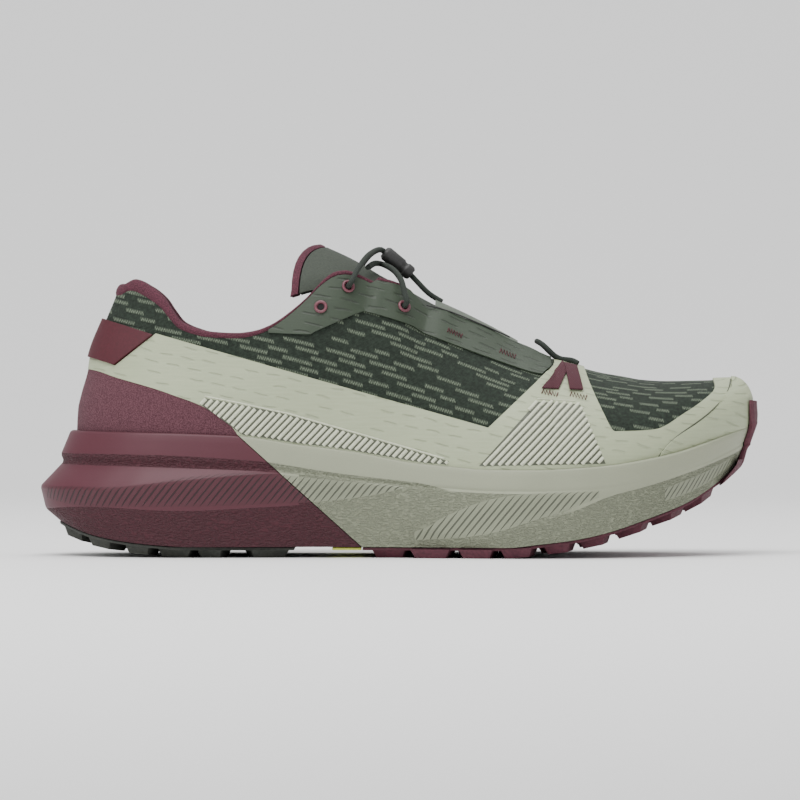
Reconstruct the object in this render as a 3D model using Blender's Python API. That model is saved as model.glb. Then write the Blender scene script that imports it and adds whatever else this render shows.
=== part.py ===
"""Trail running shoe, right foot: closed solids in metres, +Z up, toe to +X, lateral side to -Y.

Tables give lengths as shares of the named sizes: x from the heel tip as a share of LENGTH,
z from the ground as a share of HEIGHT, widths as a share of half the SOLE_WIDTH.
"""
import bisect
import functools
import math

import bmesh
import bpy
from mathutils import Vector

LENGTH = 0.2876
HEIGHT = 0.1233
SOLE_WIDTH = 0.104
WALL = 0.0020
GAP = 0.0003
OVERLAY = 0.0006
RUBBER = 0.0010
LUG = 0.0030
INSOLE = 0.0040
TONGUE_PAD = 0.0045
LACE = 0.0022
EYELET = 0.0053
EYELET_HOLE = 0.0028
CUFF = 0.0052
WEBBING = 0.0052
LOCK_LENGTH = 0.0144
LOCK_WIDTH = 0.0060

# share of length, lateral half width, medial half width
OUTLINE = (
    (0.00, 0.00, 0.00), (0.05, 0.52, 0.52), (0.10, 0.69, 0.67), (0.15, 0.77, 0.74),
    (0.25, 0.80, 0.75), (0.35, 0.78, 0.69), (0.45, 0.79, 0.655), (0.55, 0.875, 0.73),
    (0.62, 0.95, 0.855), (0.68, 1.00, 0.95), (0.74, 0.99, 1.00), (0.80, 0.915, 0.99),
    (0.86, 0.77, 0.925), (0.92, 0.53, 0.80), (0.96, 0.29, 0.645), (1.00, -0.23, 0.23),
)

# height of the sole's lines along the shoe: share of LENGTH, share of HEIGHT
BOTTOM = (
    (0.0271, 0.114), (0.073, 0.073), (0.1252, 0.05), (0.1634, 0.041), (0.2086, 0.0349),
    (0.2782, 0.0349), (0.4172, 0.0349), (0.5216, 0.0349), (0.6433, 0.0349), (0.6954, 0.047),
    (0.7371, 0.059), (0.7789, 0.079), (0.8414, 0.126), (0.8971, 0.176), (0.9388, 0.235),
    (0.9701, 0.295),
)
RIDGE = (
    (0.0076, 0.152), (0.0591, 0.162), (0.1982, 0.151), (0.3095, 0.162), (0.3686, 0.17),
    (0.4242, 0.175), (0.4764, 0.162), (0.5216, 0.118), (0.5563, 0.081), (0.605, 0.067),
    (0.6398, 0.079), (0.6885, 0.115), (0.7371, 0.152), (0.7893, 0.2), (0.8345, 0.227),
    (0.8866, 0.263), (0.9318, 0.3), (0.9771, 0.342),
)
CREASE = (
    (0, 0.225), (0.0974, 0.221), (0.1356, 0.23), (0.2086, 0.248), (0.2816, 0.264), (0.3303, 0.271),
    (0.3964, 0.258), (0.4729, 0.235), (0.5529, 0.218), (0.6398, 0.208), (0.7371, 0.211),
    (0.7789, 0.218), (0.8206, 0.235), (0.8623, 0.26), (0.9179, 0.295), (0.9597, 0.334),
    (0.9805, 0.357),
)
GROOVE = (
    (0.0327, 0.305), (0.2086, 0.295), (0.3303, 0.282), (0.3964, 0.266), (0.4729, 0.243),
    (0.5529, 0.225), (0.6398, 0.214), (0.7371, 0.217), (0.7789, 0.225), (0.8206, 0.24),
    (0.8623, 0.264), (0.9179, 0.3), (0.9597, 0.341), (0.9791, 0.362),
)
BAND = (
    (0.0285, 0.328), (0.3164, 0.303), (0.3477, 0.292), (0.3964, 0.273), (0.4729, 0.251),
    (0.5529, 0.232), (0.6398, 0.221), (0.7371, 0.224), (0.7789, 0.231), (0.8206, 0.247),
    (0.8623, 0.271), (0.9179, 0.307), (0.9597, 0.348), (0.9805, 0.367),
)
RIM = (
    (0.0424, 0.406), (0.2782, 0.391), (0.3477, 0.367), (0.4346, 0.341), (0.5216, 0.305),
    (0.5702, 0.294), (0.6189, 0.285), (0.6885, 0.284), (0.7371, 0.289), (0.7893, 0.298),
    (0.838, 0.315), (0.8866, 0.339), (0.9353, 0.376), (0.9666, 0.402), (0.9892, 0.422),
)
FOOTBED = (
    (0.0487, 0.272), (0.1391, 0.262), (0.2782, 0.268), (0.4172, 0.251), (0.5216, 0.219),
    (0.6259, 0.199), (0.7302, 0.199), (0.8345, 0.231), (0.904, 0.28), (0.9458, 0.324),
    (0.984, 0.373),
)

# name, heel end, toe end, width scale at heel, arch, ball and toe, its line
LEVELS = (
    ("bottom", 0.0271, 0.9701, 0.93, 0.86, 0.955, 0.90, BOTTOM),
    ("ridge", 0.0076, 0.9771, 0.975, 0.93, 0.99, 0.96, RIDGE),
    ("crease", 0, 0.9805, 1.00, 0.985, 1.00, 0.985, CREASE),
    ("groove", 0.0327, 0.9791, 0.90, 0.955, 0.985, 0.975, GROOVE),
    ("band", 0.0285, 0.9805, 0.915, 0.965, 0.992, 0.985, BAND),
    ("rim", 0.0424, 0.9892, 0.87, 0.95, 0.98, 0.98, RIM),
)
UPPER_SCALE = (0.815, 0.90, 0.935, 0.925)
SCALE_AT = (0.15, 0.45, 0.70, 0.95)
JOINT = (
    (0.2782, 0.391), (0.4485, 0.032),
)

# the upper's back and front: share of HEIGHT, share of LENGTH
BACK = (
    (0.243, 0.0542), (0.406, 0.0535), (0.474, 0.0549), (0.519, 0.0591), (0.6, 0.0688),
    (0.641, 0.0716), (0.769, 0.0925), (0.827, 0.1029), (0.86, 0.1078),
)
FRONT = (
    (0.243, 0.9388), (0.324, 0.9614), (0.373, 0.975), (0.422, 0.984), (0.47, 0.9882), (0.5, 0.9882),
    (0.534, 0.984), (0.554, 0.9777), (0.568, 0.9701),
)

HEEL_END = 0.0535
TOE_END = 0.984

# outer edge of the collar and throat, then the ridge in front of it
EDGE = (
    (0.1113, 0.886), (0.1266, 0.9), (0.1478, 0.878), (0.169, 0.838), (0.1801, 0.803),
    (0.194, 0.763), (0.2145, 0.74), (0.233, 0.728), (0.2733, 0.723), (0.2969, 0.73),
    (0.3192, 0.749), (0.347, 0.792), (0.3707, 0.84), (0.3943, 0.895), (0.4138, 0.922),
    (0.4263, 0.925), (0.4374, 0.918), (0.4659, 0.889), (0.5076, 0.863), (0.541, 0.792),
    (0.5529, 0.795), (0.5772, 0.772), (0.6137, 0.74), (0.6502, 0.696), (0.6805, 0.667),
    (0.7024, 0.642), (0.7128, 0.636), (0.751, 0.609), (0.7789, 0.592), (0.8136, 0.578),
    (0.8345, 0.569), (0.8693, 0.564), (0.9214, 0.566), (0.9631, 0.569), (0.9701, 0.567),
    (0.9777, 0.554), (0.984, 0.534),
)
# share of length, half width of the opening, sideways shift of the ridge toward the big toe
OPENING = (
    (0.00, 0.0, 0.0), (0.04, 0.22, 0.0), (0.10, 0.40, 0.0), (0.18, 0.53, 0.0),
    (0.28, 0.58, 0.0), (0.36, 0.52, 0.0), (0.42, 0.43, 0.01), (0.50, 0.335, 0.03),
    (0.58, 0.26, 0.06), (0.66, 0.20, 0.09), (0.693, 0.16, 0.10), (0.705, 0.0, 0.105),
    (0.80, 0.0, 0.14), (0.90, 0.0, 0.18), (1.00, 0.0, 0.23),
)
# share of length, lower handle, upper handle, lean of the wall at the edge in degrees
SECTION = (
    (0.00, 0.40, 0.35, 89), (0.10, 0.42, 0.35, 86), (0.25, 0.42, 0.35, 80), (0.36, 0.42, 0.35, 68),
    (0.45, 0.42, 0.40, 48), (0.56, 0.45, 0.45, 38), (0.68, 0.50, 0.50, 18), (0.72, 0.52, 0.55, 0),
    (0.82, 0.58, 0.60, 0), (0.92, 0.66, 0.62, 0), (0.97, 0.66, 0.55, 15), (1.00, 0.60, 0.45, 60),
)
# share of LENGTH, height of the cuff above the wall
CUFF_HEIGHT = (0.1043, 1.0), (0.153, 0.9), (0.1947, 0.55), (0.2434, 0.42), (0.4659, 0.40)
CUFF_END = 0.4659
THROAT = 0.7128

# side views of the overlays: share of LENGTH, share of HEIGHT
COUNTER = (
    (0, 0.6), (0.0661, 0.6), (0.1106, 0.571), (0.1606, 0.539), (0.1885, 0.516), (0.2274, 0.483),
    (0.2622, 0.431), (0.2799, 0.381), (0.2799, 0.243), (0, 0.243),
)
STRAP = (
    (0, 0.779), (0.0828, 0.769), (0.1599, 0.712), (0.1064, 0.616), (0.0633, 0.647), (0, 0.665),
)
CAGE = (
    (-0.0139, 0.659), (0.0633, 0.642), (0.1078, 0.612), (0.1641, 0.715), (0.621, 0.414),
    (0.7149, 0.618), (0.7149, 0.73), (0.7545, 0.73), (0.7559, 0.59), (0.7837, 0.431),
    (0.7928, 0.402), (0.8414, 0.406), (0.8623, 0.418), (0.8877, 0.454), (0.911, 0.487),
    (0.9336, 0.526), (0.9381, 0.543), (0.9367, 0.649), (0.9611, 0.649), (0.9611, 0.556),
    (0.9548, 0.526), (0.9353, 0.479), (0.9096, 0.431), (0.8748, 0.38), (0.8526, 0.328),
    (0.8345, 0.243), (0.2816, 0.243), (0.2816, 0.383), (0.2636, 0.436), (0.2284, 0.487),
    (0.1892, 0.521), (0.1613, 0.543), (0.1113, 0.576), (0.0668, 0.605), (-0.0139, 0.607),
)
TOE_CAP = (
    (0.8401, 0.243), (0.8567, 0.313), (0.8602, 0.334), (0.8773, 0.375), (0.912, 0.426),
    (0.9378, 0.471), (0.9583, 0.523), (0.9652, 0.558), (0.9652, 0.649), (1.0431, 0.649),
    (1.0431, 0.243),
)
EYESTAY = (
    (0.3192, 0.72), (0.372, 0.715), (0.3825, 0.723), (0.4068, 0.748), (0.444, 0.785),
    (0.4576, 0.785), (0.5042, 0.753), (0.5216, 0.735), (0.532, 0.719), (0.5841, 0.672),
    (0.614, 0.646), (0.6537, 0.613), (0.6815, 0.592), (0.6954, 0.586), (0.7086, 0.613),
    (0.7086, 1.054), (0.3192, 1.054),
)

# lugs: share of LENGTH, share of half width, length along, width across, turn in degrees
LUGS = (
    (0.0556, 0.30, 7.0, 12.0, 20), (0.0974, 0.56, 9.0, 14.0, 28), (0.1008, 0.14, 8.0, 8.0, 10),
    (0.146, 0.66, 9.0, 13.0, 18), (0.146, 0.22, 8.0, 12.0, 18),
    (0.1947, 0.66, 12.0, 13.0, 12), (0.1947, 0.22, 9.0, 12.0, 18),
    (0.2434, 0.66, 9.0, 13.0, 12), (0.2434, 0.22, 9.0, 12.0, 18), (0.3164, 0.62, 14.0, 14.0, -12),
    (0.4903, 0.60, 12.0, 14.0, 14), (0.5459, 0.76, 14.0, 14.0, 12), (0.5459, 0.28, 9.0, 16.0, 18),
    (0.6085, 0.78, 12.0, 14.0, 12), (0.605, 0.30, 9.0, 17.0, 18),
    (0.6641, 0.78, 11.0, 14.0, 12), (0.6606, 0.30, 9.0, 17.0, 18),
    (0.7197, 0.76, 9.0, 14.0, 12), (0.7163, 0.30, 9.0, 17.0, 18),
    (0.7684, 0.72, 9.0, 13.0, 12), (0.7684, 0.28, 9.0, 15.0, 18),
    (0.8206, 0.62, 10.0, 12.0, 16), (0.8206, 0.22, 9.0, 13.0, 18), (0.8693, 0.44, 9.0, 13.0, 24),
    (0.9145, 0.26, 8.0, 12.0, 24),
)


def lay(x):
    """Place a length measured from the heel tip into the frame."""
    return x - LENGTH / 2


@functools.lru_cache(maxsize=None)
def fit(points):
    """Slopes of a monotone cubic through (place, value) rows."""
    x = [float(row[0]) for row in points]
    y = [float(row[1]) for row in points]
    h = [b - a for a, b in zip(x, x[1:])]
    d = [(b - a) / k for a, b, k in zip(y, y[1:], h)]
    m = [d[0]] + [0.0] * (len(x) - 2) + [d[-1]]
    for i in range(1, len(x) - 1):
        if d[i - 1] * d[i] > 0:
            a, b = 2 * h[i] + h[i - 1], h[i] + 2 * h[i - 1]
            m[i] = (a + b) / (a / d[i - 1] + b / d[i])
    return x, y, h, m


def smooth(points, t):
    """Read the curve through the rows at t."""
    x, y, h, m = fit(tuple(points))
    t = min(max(t, x[0]), x[-1])
    i = min(max(bisect.bisect_right(x, t) - 1, 0), len(h) - 1)
    k = (t - x[i]) / h[i]
    return (
        (1 + 2 * k) * (1 - k) ** 2 * y[i] + k * (1 - k) ** 2 * h[i] * m[i]
        + k * k * (3 - 2 * k) * y[i + 1] + k * k * (k - 1) * h[i] * m[i + 1]
    )


def height(table, x):
    """Height of a side-view line at x, both in metres."""
    return HEIGHT * smooth(table, x / LENGTH)


def reach(table, z):
    """Distance from the heel tip of the upper's back or front at height z."""
    return LENGTH * smooth(table, z / HEIGHT)


def share(u):
    """Stations lie close together at the round ends."""
    return (1 - math.cos(math.pi * u)) / 2


def station(s):
    """Undo share."""
    return math.acos(max(-1.0, min(1.0, 1 - 2 * s))) / math.pi


@functools.lru_cache(maxsize=None)
def placed(table, index):
    """One column of a table against its station."""
    return tuple((station(row[0]), row[index]) for row in table)


def column(table, index, u):
    """Read one column of a table whose rows are placed by share of length."""
    return smooth(placed(table, index), u)


def scale_at(scales, u):
    """Width scale between the heel, arch, ball and toe values."""
    return smooth(tuple(zip(SCALE_AT, scales)), share(u))


def plan(u, scale):
    """Mid-line and half width of the outline at a station."""
    lateral = -column(OUTLINE, 1, u)
    medial = column(OUTLINE, 2, u)
    half = SOLE_WIDTH / 2
    return half * (medial + lateral) / 2, half * (medial - lateral) / 2 * scale


def level_point(level, side, u):
    """A point on one of the sole's closed lines; side is -1 lateral, +1 medial."""
    name, heel, toe, *scales, table = level
    x = LENGTH * (heel + (toe - heel) * share(u))
    mid, half = plan(u, scale_at(scales, u))
    return Vector((lay(x), mid + side * half, height(table, x)))


def foot_line(u):
    """Distance from the heel tip of a station of the upper at the rim of the sole."""
    return LENGTH * (HEEL_END + (TOE_END - HEEL_END) * share(u))


def along(u, z):
    """The same at height z: the heel leans forward and the toe curls back."""
    s = share(u)
    heel, toe = reach(BACK, z) - LENGTH * HEEL_END, reach(FRONT, z) - LENGTH * TOE_END
    return foot_line(u) + heel * (1 - s) + toe * s ** 8


def station_at(x, z):
    """Station of the upper that lies at x and height z."""
    low, high = 0.0, 1.0
    for step in range(40):
        middle = (low + high) / 2
        if along(middle, z) < x:
            low = middle
        else:
            high = middle
    return low


def wall_place(side, u, z, extra=0.0):
    """A point of the upper's foot line at height z, moved out by extra."""
    mid, half = plan(u, scale_at(UPPER_SCALE, u))
    ends = min(1.0, half / (0.3 * SOLE_WIDTH))
    x = along(u, z) + extra * (2 * share(u) - 1)
    return Vector((lay(x), mid + side * (half + extra * ends), z))


def edge_height(u):
    """Top of the upper's wall at a station, with the cuff taken off behind the throat."""
    z = 0.1
    for step in range(30):
        x = along(u, z)
        top = height(EDGE, x)
        if x < LENGTH * CUFF_END:
            top -= cuff_size(x) + GAP
        z = 0.5 * z + 0.5 * top
    return x, z


def cuff_size(x):
    """Height of the cuff at x."""
    return CUFF * smooth(CUFF_HEIGHT, x / LENGTH)


EDGES = {}


def edge_at(u):
    """Remember each station's edge."""
    key = round(u, 6)
    if key not in EDGES:
        EDGES[key] = edge_height(u)
    return EDGES[key]


def skin(side, u, v, out=0.0):
    """Outside of the upper: v runs from the rim of the sole to the edge, below 0 into the sole."""
    x_edge, z_edge = edge_at(u)
    z_foot = height(RIM, foot_line(u))
    foot = wall_place(side, u, z_foot)
    if v < 0:
        z = z_foot + v * (z_foot - height(FOOTBED, foot_line(u)) - GAP)
        return wall_place(side, u, z, out)
    half = SOLE_WIDTH / 2
    opening = column(OPENING, 1, u) * half if u < THROAT_U else 0.0
    ridge = column(OPENING, 2, u) * half
    low = column(SECTION, 1, u)
    high = column(SECTION, 2, u)
    lean = math.radians(column(SECTION, 3, u))
    rise = z_edge - z_foot
    top_y = ridge + side * min(opening, abs(foot.y - ridge))
    run = abs(foot.y - top_y)
    inward = -side * math.copysign(1.0, side * (foot.y - top_y)) if run else 0.0
    size = low * rise
    b1 = (foot.y, z_foot + size)
    handle = high * (run * math.cos(lean) + rise * math.sin(lean))
    b2 = (top_y - inward * handle * math.cos(lean), z_edge - handle * math.sin(lean))
    w = 1 - v
    y = w ** 3 * foot.y + 3 * w * w * v * b1[0] + 3 * w * v * v * b2[0] + v ** 3 * top_y
    z = w ** 3 * z_foot + 3 * w * w * v * b1[1] + 3 * w * v * v * b2[1] + v ** 3 * z_edge
    return Vector((lay(along(u, z)), y, z))


def skin_normal(side, u, v):
    """Outward direction of the skin."""
    e = 0.004
    u0, u1 = max(0.0, u - e), min(1.0, u + e)
    v0, v1 = (v - 0.02, v) if v > 0.98 else (v, v + 0.02)
    if u in (0.0, 1.0):
        across = skin(1, abs(u - 0.01), v) - skin(-1, abs(u - 0.01), v)
        along = across if u == 0.0 else -across
        along = along * side
    else:
        along = (skin(side, u1, v) - skin(side, u0, v))
    up = skin(side, u, v1) - skin(side, u, v0)
    n = along.cross(up) * -side
    return n.normalized()


def off_skin(side, u, v, out):
    """A point at a distance from the skin."""
    return skin(side, u, v) + skin_normal(side, u, v) * out


def add_mesh(name, points, faces, merge=1e-6):
    """Make an object from points and faces, joined where points meet, faces turned out."""
    mesh = bpy.data.meshes.new(name)
    mesh.from_pydata([tuple(p) for p in points], [], faces)
    bm = bmesh.new()
    bm.from_mesh(mesh)
    bmesh.ops.remove_doubles(bm, verts=bm.verts, dist=merge)
    bmesh.ops.dissolve_degenerate(bm, edges=bm.edges, dist=1e-7)
    bmesh.ops.recalc_face_normals(bm, faces=bm.faces)
    bm.to_mesh(mesh)
    bm.free()
    obj = bpy.data.objects.new(name, mesh)
    bpy.context.scene.collection.objects.link(obj)
    return obj


def rings(name, loops, closed=False, merge=1e-6, strips=False):
    """Skin closed loops of equal length; ends are capped, or the last joins the first.

    With strips, a cap joins each point to its twin on the far face of a sheet."""
    count = len(loops[0])
    points = [p for loop in loops for p in loop]
    faces = []
    last = len(loops) if closed else len(loops) - 1
    for k in range(last):
        a, b = k * count, (k + 1) % len(loops) * count
        for i in range(count):
            j = (i + 1) % count
            faces.append((a + i, a + j, b + j, b + i))
    if strips:
        for a in (0, (len(loops) - 1) * count):
            for i in range(count // 2 - 1):
                faces.append((a + i, a + i + 1, a + count - 2 - i, a + count - 1 - i))
    elif not closed:
        faces.append(tuple(reversed(range(count))))
        faces.append(tuple(range((len(loops) - 1) * count, len(loops) * count)))
    return add_mesh(name, points, faces, merge)


def slab(name, loops, us):
    """Stack of plan loops, lateral then medial points, with strips across as its two caps."""
    n = len(us)
    points = [p for loop in loops for p in loop]
    faces = []
    for k in range(len(loops) - 1):
        for side in (0, 1):
            a, b = (2 * k + side) * n, (2 * k + 2 + side) * n
            for i in range(n - 1):
                faces.append((a + i, a + i + 1, b + i + 1, b + i))
    for k in (0, len(loops) - 1):
        a = 2 * k * n
        for i in range(n - 1):
            faces.append((a + i, a + n + i, a + n + i + 1, a + i + 1))
    return add_mesh(name, points, faces)


def both(point, us):
    """Lateral then medial points of a loop."""
    return [point(-1, u) for u in us] + [point(1, u) for u in us]


def cut(obj, planes):
    """Keep the part behind each plane (point, normal) and close the cut."""
    bm = bmesh.new()
    bm.from_mesh(obj.data)
    for place, normal in planes:
        everything = bm.verts[:] + bm.edges[:] + bm.faces[:]
        done = bmesh.ops.bisect_plane(
            bm, geom=everything, plane_co=place, plane_no=normal, clear_outer=True, dist=1e-7
        )
        edges = [e for e in done["geom_cut"] if isinstance(e, bmesh.types.BMEdge)]
        bmesh.ops.triangle_fill(bm, edges=edges, use_beauty=True)
    bmesh.ops.remove_doubles(bm, verts=bm.verts, dist=1e-6)
    bmesh.ops.recalc_face_normals(bm, faces=bm.faces)
    bm.to_mesh(obj.data)
    bm.free()


def boolean(obj, other, operation):
    """Run an exact Boolean and drop the second object."""
    modifier = obj.modifiers.new("Cut", "BOOLEAN")
    modifier.operation = operation
    modifier.solver = "EXACT"
    modifier.object = other
    bpy.context.view_layer.update()
    graph = bpy.context.evaluated_depsgraph_get()
    mesh = bpy.data.meshes.new_from_object(obj.evaluated_get(graph))
    obj.modifiers.clear()
    obj.data = mesh
    bpy.data.objects.remove(other)
    bm = bmesh.new()
    bm.from_mesh(mesh)
    bmesh.ops.remove_doubles(bm, verts=bm.verts, dist=2e-6)
    bmesh.ops.dissolve_degenerate(bm, edges=bm.edges, dist=2e-6)
    bmesh.ops.triangulate(bm, faces=[f for f in bm.faces if len(f.verts) > 3])
    bm.to_mesh(mesh)
    bm.free()


def prism(name, outline, low=-SOLE_WIDTH, high=SOLE_WIDTH):
    """Side-view outline run across the shoe between two widths."""
    count = len(outline)
    points = []
    for y in (low, high):
        points += [(lay(LENGTH * a), y, HEIGHT * b) for a, b in outline]
    faces = [tuple(range(count)), tuple(reversed(range(count, 2 * count)))]
    for i in range(count):
        j = (i + 1) % count
        faces.append((i, j, count + j, count + i))
    return add_mesh(name, points, faces)


def shell(name, inner, outer, us, vs):
    """Closed sheet over both sides of the upper between two distances from the skin."""
    n, m = len(us), len(vs)
    points = []
    index = {}
    for layer, out in enumerate((inner, outer)):
        for side in (-1, 1):
            for i, u in enumerate(us):
                for j, v in enumerate(vs):
                    index[layer, side, i, j] = len(points)
                    p = off_skin(side, u, v, out)
                    if inner > 0:
                        p.z = max(p.z, height(RIM, foot_line(u)) + GAP * 1.5)
                    points.append(p)
    for layer in (0, 1):
        for i, u in enumerate(us):
            if u >= THROAT_U:
                a, b = index[layer, -1, i, m - 1], index[layer, 1, i, m - 1]
                points[a] = points[b] = (points[a] + points[b]) / 2
            if u in (0.0, 1.0):
                for j in range(m):
                    a, b = index[layer, -1, i, j], index[layer, 1, i, j]
                    points[a] = points[b] = (points[a] + points[b]) / 2
    faces = []
    for side in (-1, 1):
        for i in range(n - 1):
            for layer in (0, 1):
                for j in range(m - 1):
                    p, q = index[layer, side, i, j], index[layer, side, i + 1, j]
                    r, t = index[layer, side, i + 1, j + 1], index[layer, side, i, j + 1]
                    faces += [(p, q, r), (p, r, t)]
            for j in (0, m - 1):
                if j and us[i] >= THROAT_U:
                    continue
                faces.append((index[0, side, i, j], index[0, side, i + 1, j],
                              index[1, side, i + 1, j], index[1, side, i, j]))
    return add_mesh(name, points, faces)


def stations(count, *marks):
    """Even stations with the nearest ones moved onto marked distances from the heel."""
    us = [i / (count - 1) for i in range(count)]
    for mark in marks:
        i = min(range(1, count - 1), key=lambda k: abs(us[k] - mark))
        us[i] = mark
    return us


def tube(name, route, thickness, spacing=2.5, resolution=2):
    """Round cord through hand-chosen points, read from a smooth curve."""
    points = [Vector(p) for p in route]
    dense = []
    for i in range(len(points) - 1):
        p0 = points[max(i - 1, 0)]
        p1, p2 = points[i], points[i + 1]
        p3 = points[min(i + 2, len(points) - 1)]
        for k in range(12):
            t = k / 12
            dense.append(0.5 * (2 * p1 + (p2 - p0) * t + (2 * p0 - 5 * p1 + 4 * p2 - p3) * t * t
                                + (3 * p1 - p0 - 3 * p2 + p3) * t ** 3))
    dense.append(points[-1])
    total = sum((b - a).length for a, b in zip(dense, dense[1:]))
    count = max(4, round(total / (thickness * spacing)))
    chosen, walked, goal = [dense[0]], 0.0, total / count
    for a, b in zip(dense, dense[1:]):
        walked += (b - a).length
        if walked >= goal and len(chosen) < count:
            chosen.append(b)
            goal += total / count
    chosen.append(dense[-1])
    curve = bpy.data.curves.new(name, "CURVE")
    curve.dimensions = "3D"
    curve.bevel_depth = thickness / 2
    curve.bevel_resolution = resolution
    curve.use_fill_caps = True
    spline = curve.splines.new("POLY")
    spline.points.add(len(chosen) - 1)
    for point, place in zip(spline.points, chosen):
        point.co = (*place, 1)
    obj = bpy.data.objects.new(name, curve)
    bpy.context.scene.collection.objects.link(obj)
    return obj


def as_mesh(obj):
    """Turn a curve object into a mesh object of the same name."""
    graph = bpy.context.evaluated_depsgraph_get()
    mesh = bpy.data.meshes.new_from_object(obj.evaluated_get(graph))
    name = obj.name
    bpy.data.objects.remove(obj)
    made = bpy.data.objects.new(name, mesh)
    bpy.context.scene.collection.objects.link(made)
    bm = bmesh.new()
    bm.from_mesh(mesh)
    bmesh.ops.remove_doubles(bm, verts=bm.verts, dist=1e-6)
    bmesh.ops.recalc_face_normals(bm, faces=bm.faces)
    bm.to_mesh(mesh)
    bm.free()
    return made


def paint(obj, color, roughness):
    """Give a piece its own plain material."""
    material = bpy.data.materials.new(obj.name)
    material.use_nodes = True
    shader = material.node_tree.nodes["Principled BSDF"]
    shader.inputs["Base Color"].default_value = (*color, 1)
    shader.inputs["Roughness"].default_value = roughness
    obj.data.materials.clear()
    obj.data.materials.append(material)
    return obj


THROAT_U = station_at(LENGTH * THROAT, HEIGHT * 0.63)
STATIONS = stations(29, THROAT_U, station_at(LENGTH * 0.6919, 0.080), station_at(LENGTH * 0.541, 0.098),
                    station_at(LENGTH * 0.5076, 0.106), station_at(LENGTH * 0.4263, 0.112))
ROWS = [k / 7 for k in range(8)]


def make_midsole():
    """Cup of foam, cut in two along the slanted joint."""
    us = STATIONS
    loops = [both(lambda side, u, level=level: level_point(level, side, u), us) for level in LEVELS]

    def seat(depth):
        def point(side, u):
            x = foot_line(u)
            top, floor = height(RIM, x), height(FOOTBED, x)
            return wall_place(side, u, top + (floor - top) * depth, GAP)
        return point

    loops += [both(seat(depth), us) for depth in (0.0, 0.5, 1.0)]
    high, low = ((lay(LENGTH * a), HEIGHT * b) for a, b in JOINT)
    along = Vector((low[0] - high[0], 0, low[1] - high[1])).normalized()
    across = Vector((-along.z, 0, along.x))
    place = Vector((high[0], 0, high[1]))
    halves = (("midsole_rear", 1, (0.19, 0.09, 0.11)), ("midsole_front", -1, (0.45, 0.46, 0.38)))
    for name, sign, color in halves:
        piece = slab(name, loops, us)
        cut(piece, [(place - across * sign * GAP / 2, across * sign)])
        paint(piece, color, 0.7)


def lug(x, y, long, wide, turn):
    """One tapered block whose foot follows the line of the sole."""
    corners = []
    for layer, spread in ((0, 1.12), (1, 0.86)):
        for a, b in ((-1, -1), (1, -1), (1, 1), (-1, 1)):
            dx, dy = a * long / 2 * spread, b * wide / 2 * spread
            px = x + dx * math.cos(turn) - dy * math.sin(turn)
            py = y + dx * math.sin(turn) + dy * math.cos(turn)
            base = height(BOTTOM, px) - GAP
            z = base - RUBBER / 2 if layer == 0 else base - RUBBER - LUG
            corners.append((lay(px), py, z))
    faces = [(0, 1, 2, 3), (7, 6, 5, 4)]
    faces += [(i, (i + 1) % 4, 4 + (i + 1) % 4, 4 + i) for i in range(4)]
    return add_mesh("lug", corners, faces)


def make_outsole(name, start, end, color):
    """Thin rubber sheet under the foam with its lugs joined on."""
    heel, toe = LEVELS[0][1], LEVELS[0][2]

    def edge(drop):
        def point(side, u):
            x = LENGTH * (heel + (toe - heel) * share(u))
            mid, half = plan(u, scale_at((0.91, 0.82, 0.935, 0.88), u))
            return Vector((lay(x), mid + side * half, height(BOTTOM, x) - GAP - drop))
        return point

    low = station(max(0.0, (start - heel) / (toe - heel)))
    high = station(min(1.0, (end - heel) / (toe - heel)))
    us = [low + (high - low) * i / 15 for i in range(16)]
    sheet = slab(name, [both(edge(0.0), us), both(edge(RUBBER), us)], us)
    bm = bmesh.new()
    bm.from_mesh(sheet.data)
    bmesh.ops.holes_fill(bm, edges=[e for e in bm.edges if e.is_boundary])
    bmesh.ops.recalc_face_normals(bm, faces=bm.faces)
    bm.to_mesh(sheet.data)
    bm.free()
    for place, out, long, wide, turn in LUGS:
        if start < place - 0.012 and place + 0.012 < end:
            mid, half = plan(station((place - heel) / (toe - heel)), 1.0)
            for side in (-1, 1):
                block = lug(LENGTH * place, mid + side * half * out, long / 1000, wide / 1000,
                            math.radians(turn) * side)
                boolean(sheet, block, "UNION")
    return paint(sheet, color, 0.8)


# rubber over the toe: thickness of each row in millimetres, from under the toe to the top
BUMPER = (1.4, 1.7, 2.0, 2.3, 2.5, 2.4, 1.8, 1.4, 1.1, 1.0, 0.9)
BUMPER_SIDE = (
    (0.9318, 0.195), (0.9673, 0.292), (0.9812, 0.373), (0.9854, 0.406), (0.9847, 0.5),
    (1.0431, 0.5), (1.0431, 0.195),
)


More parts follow.
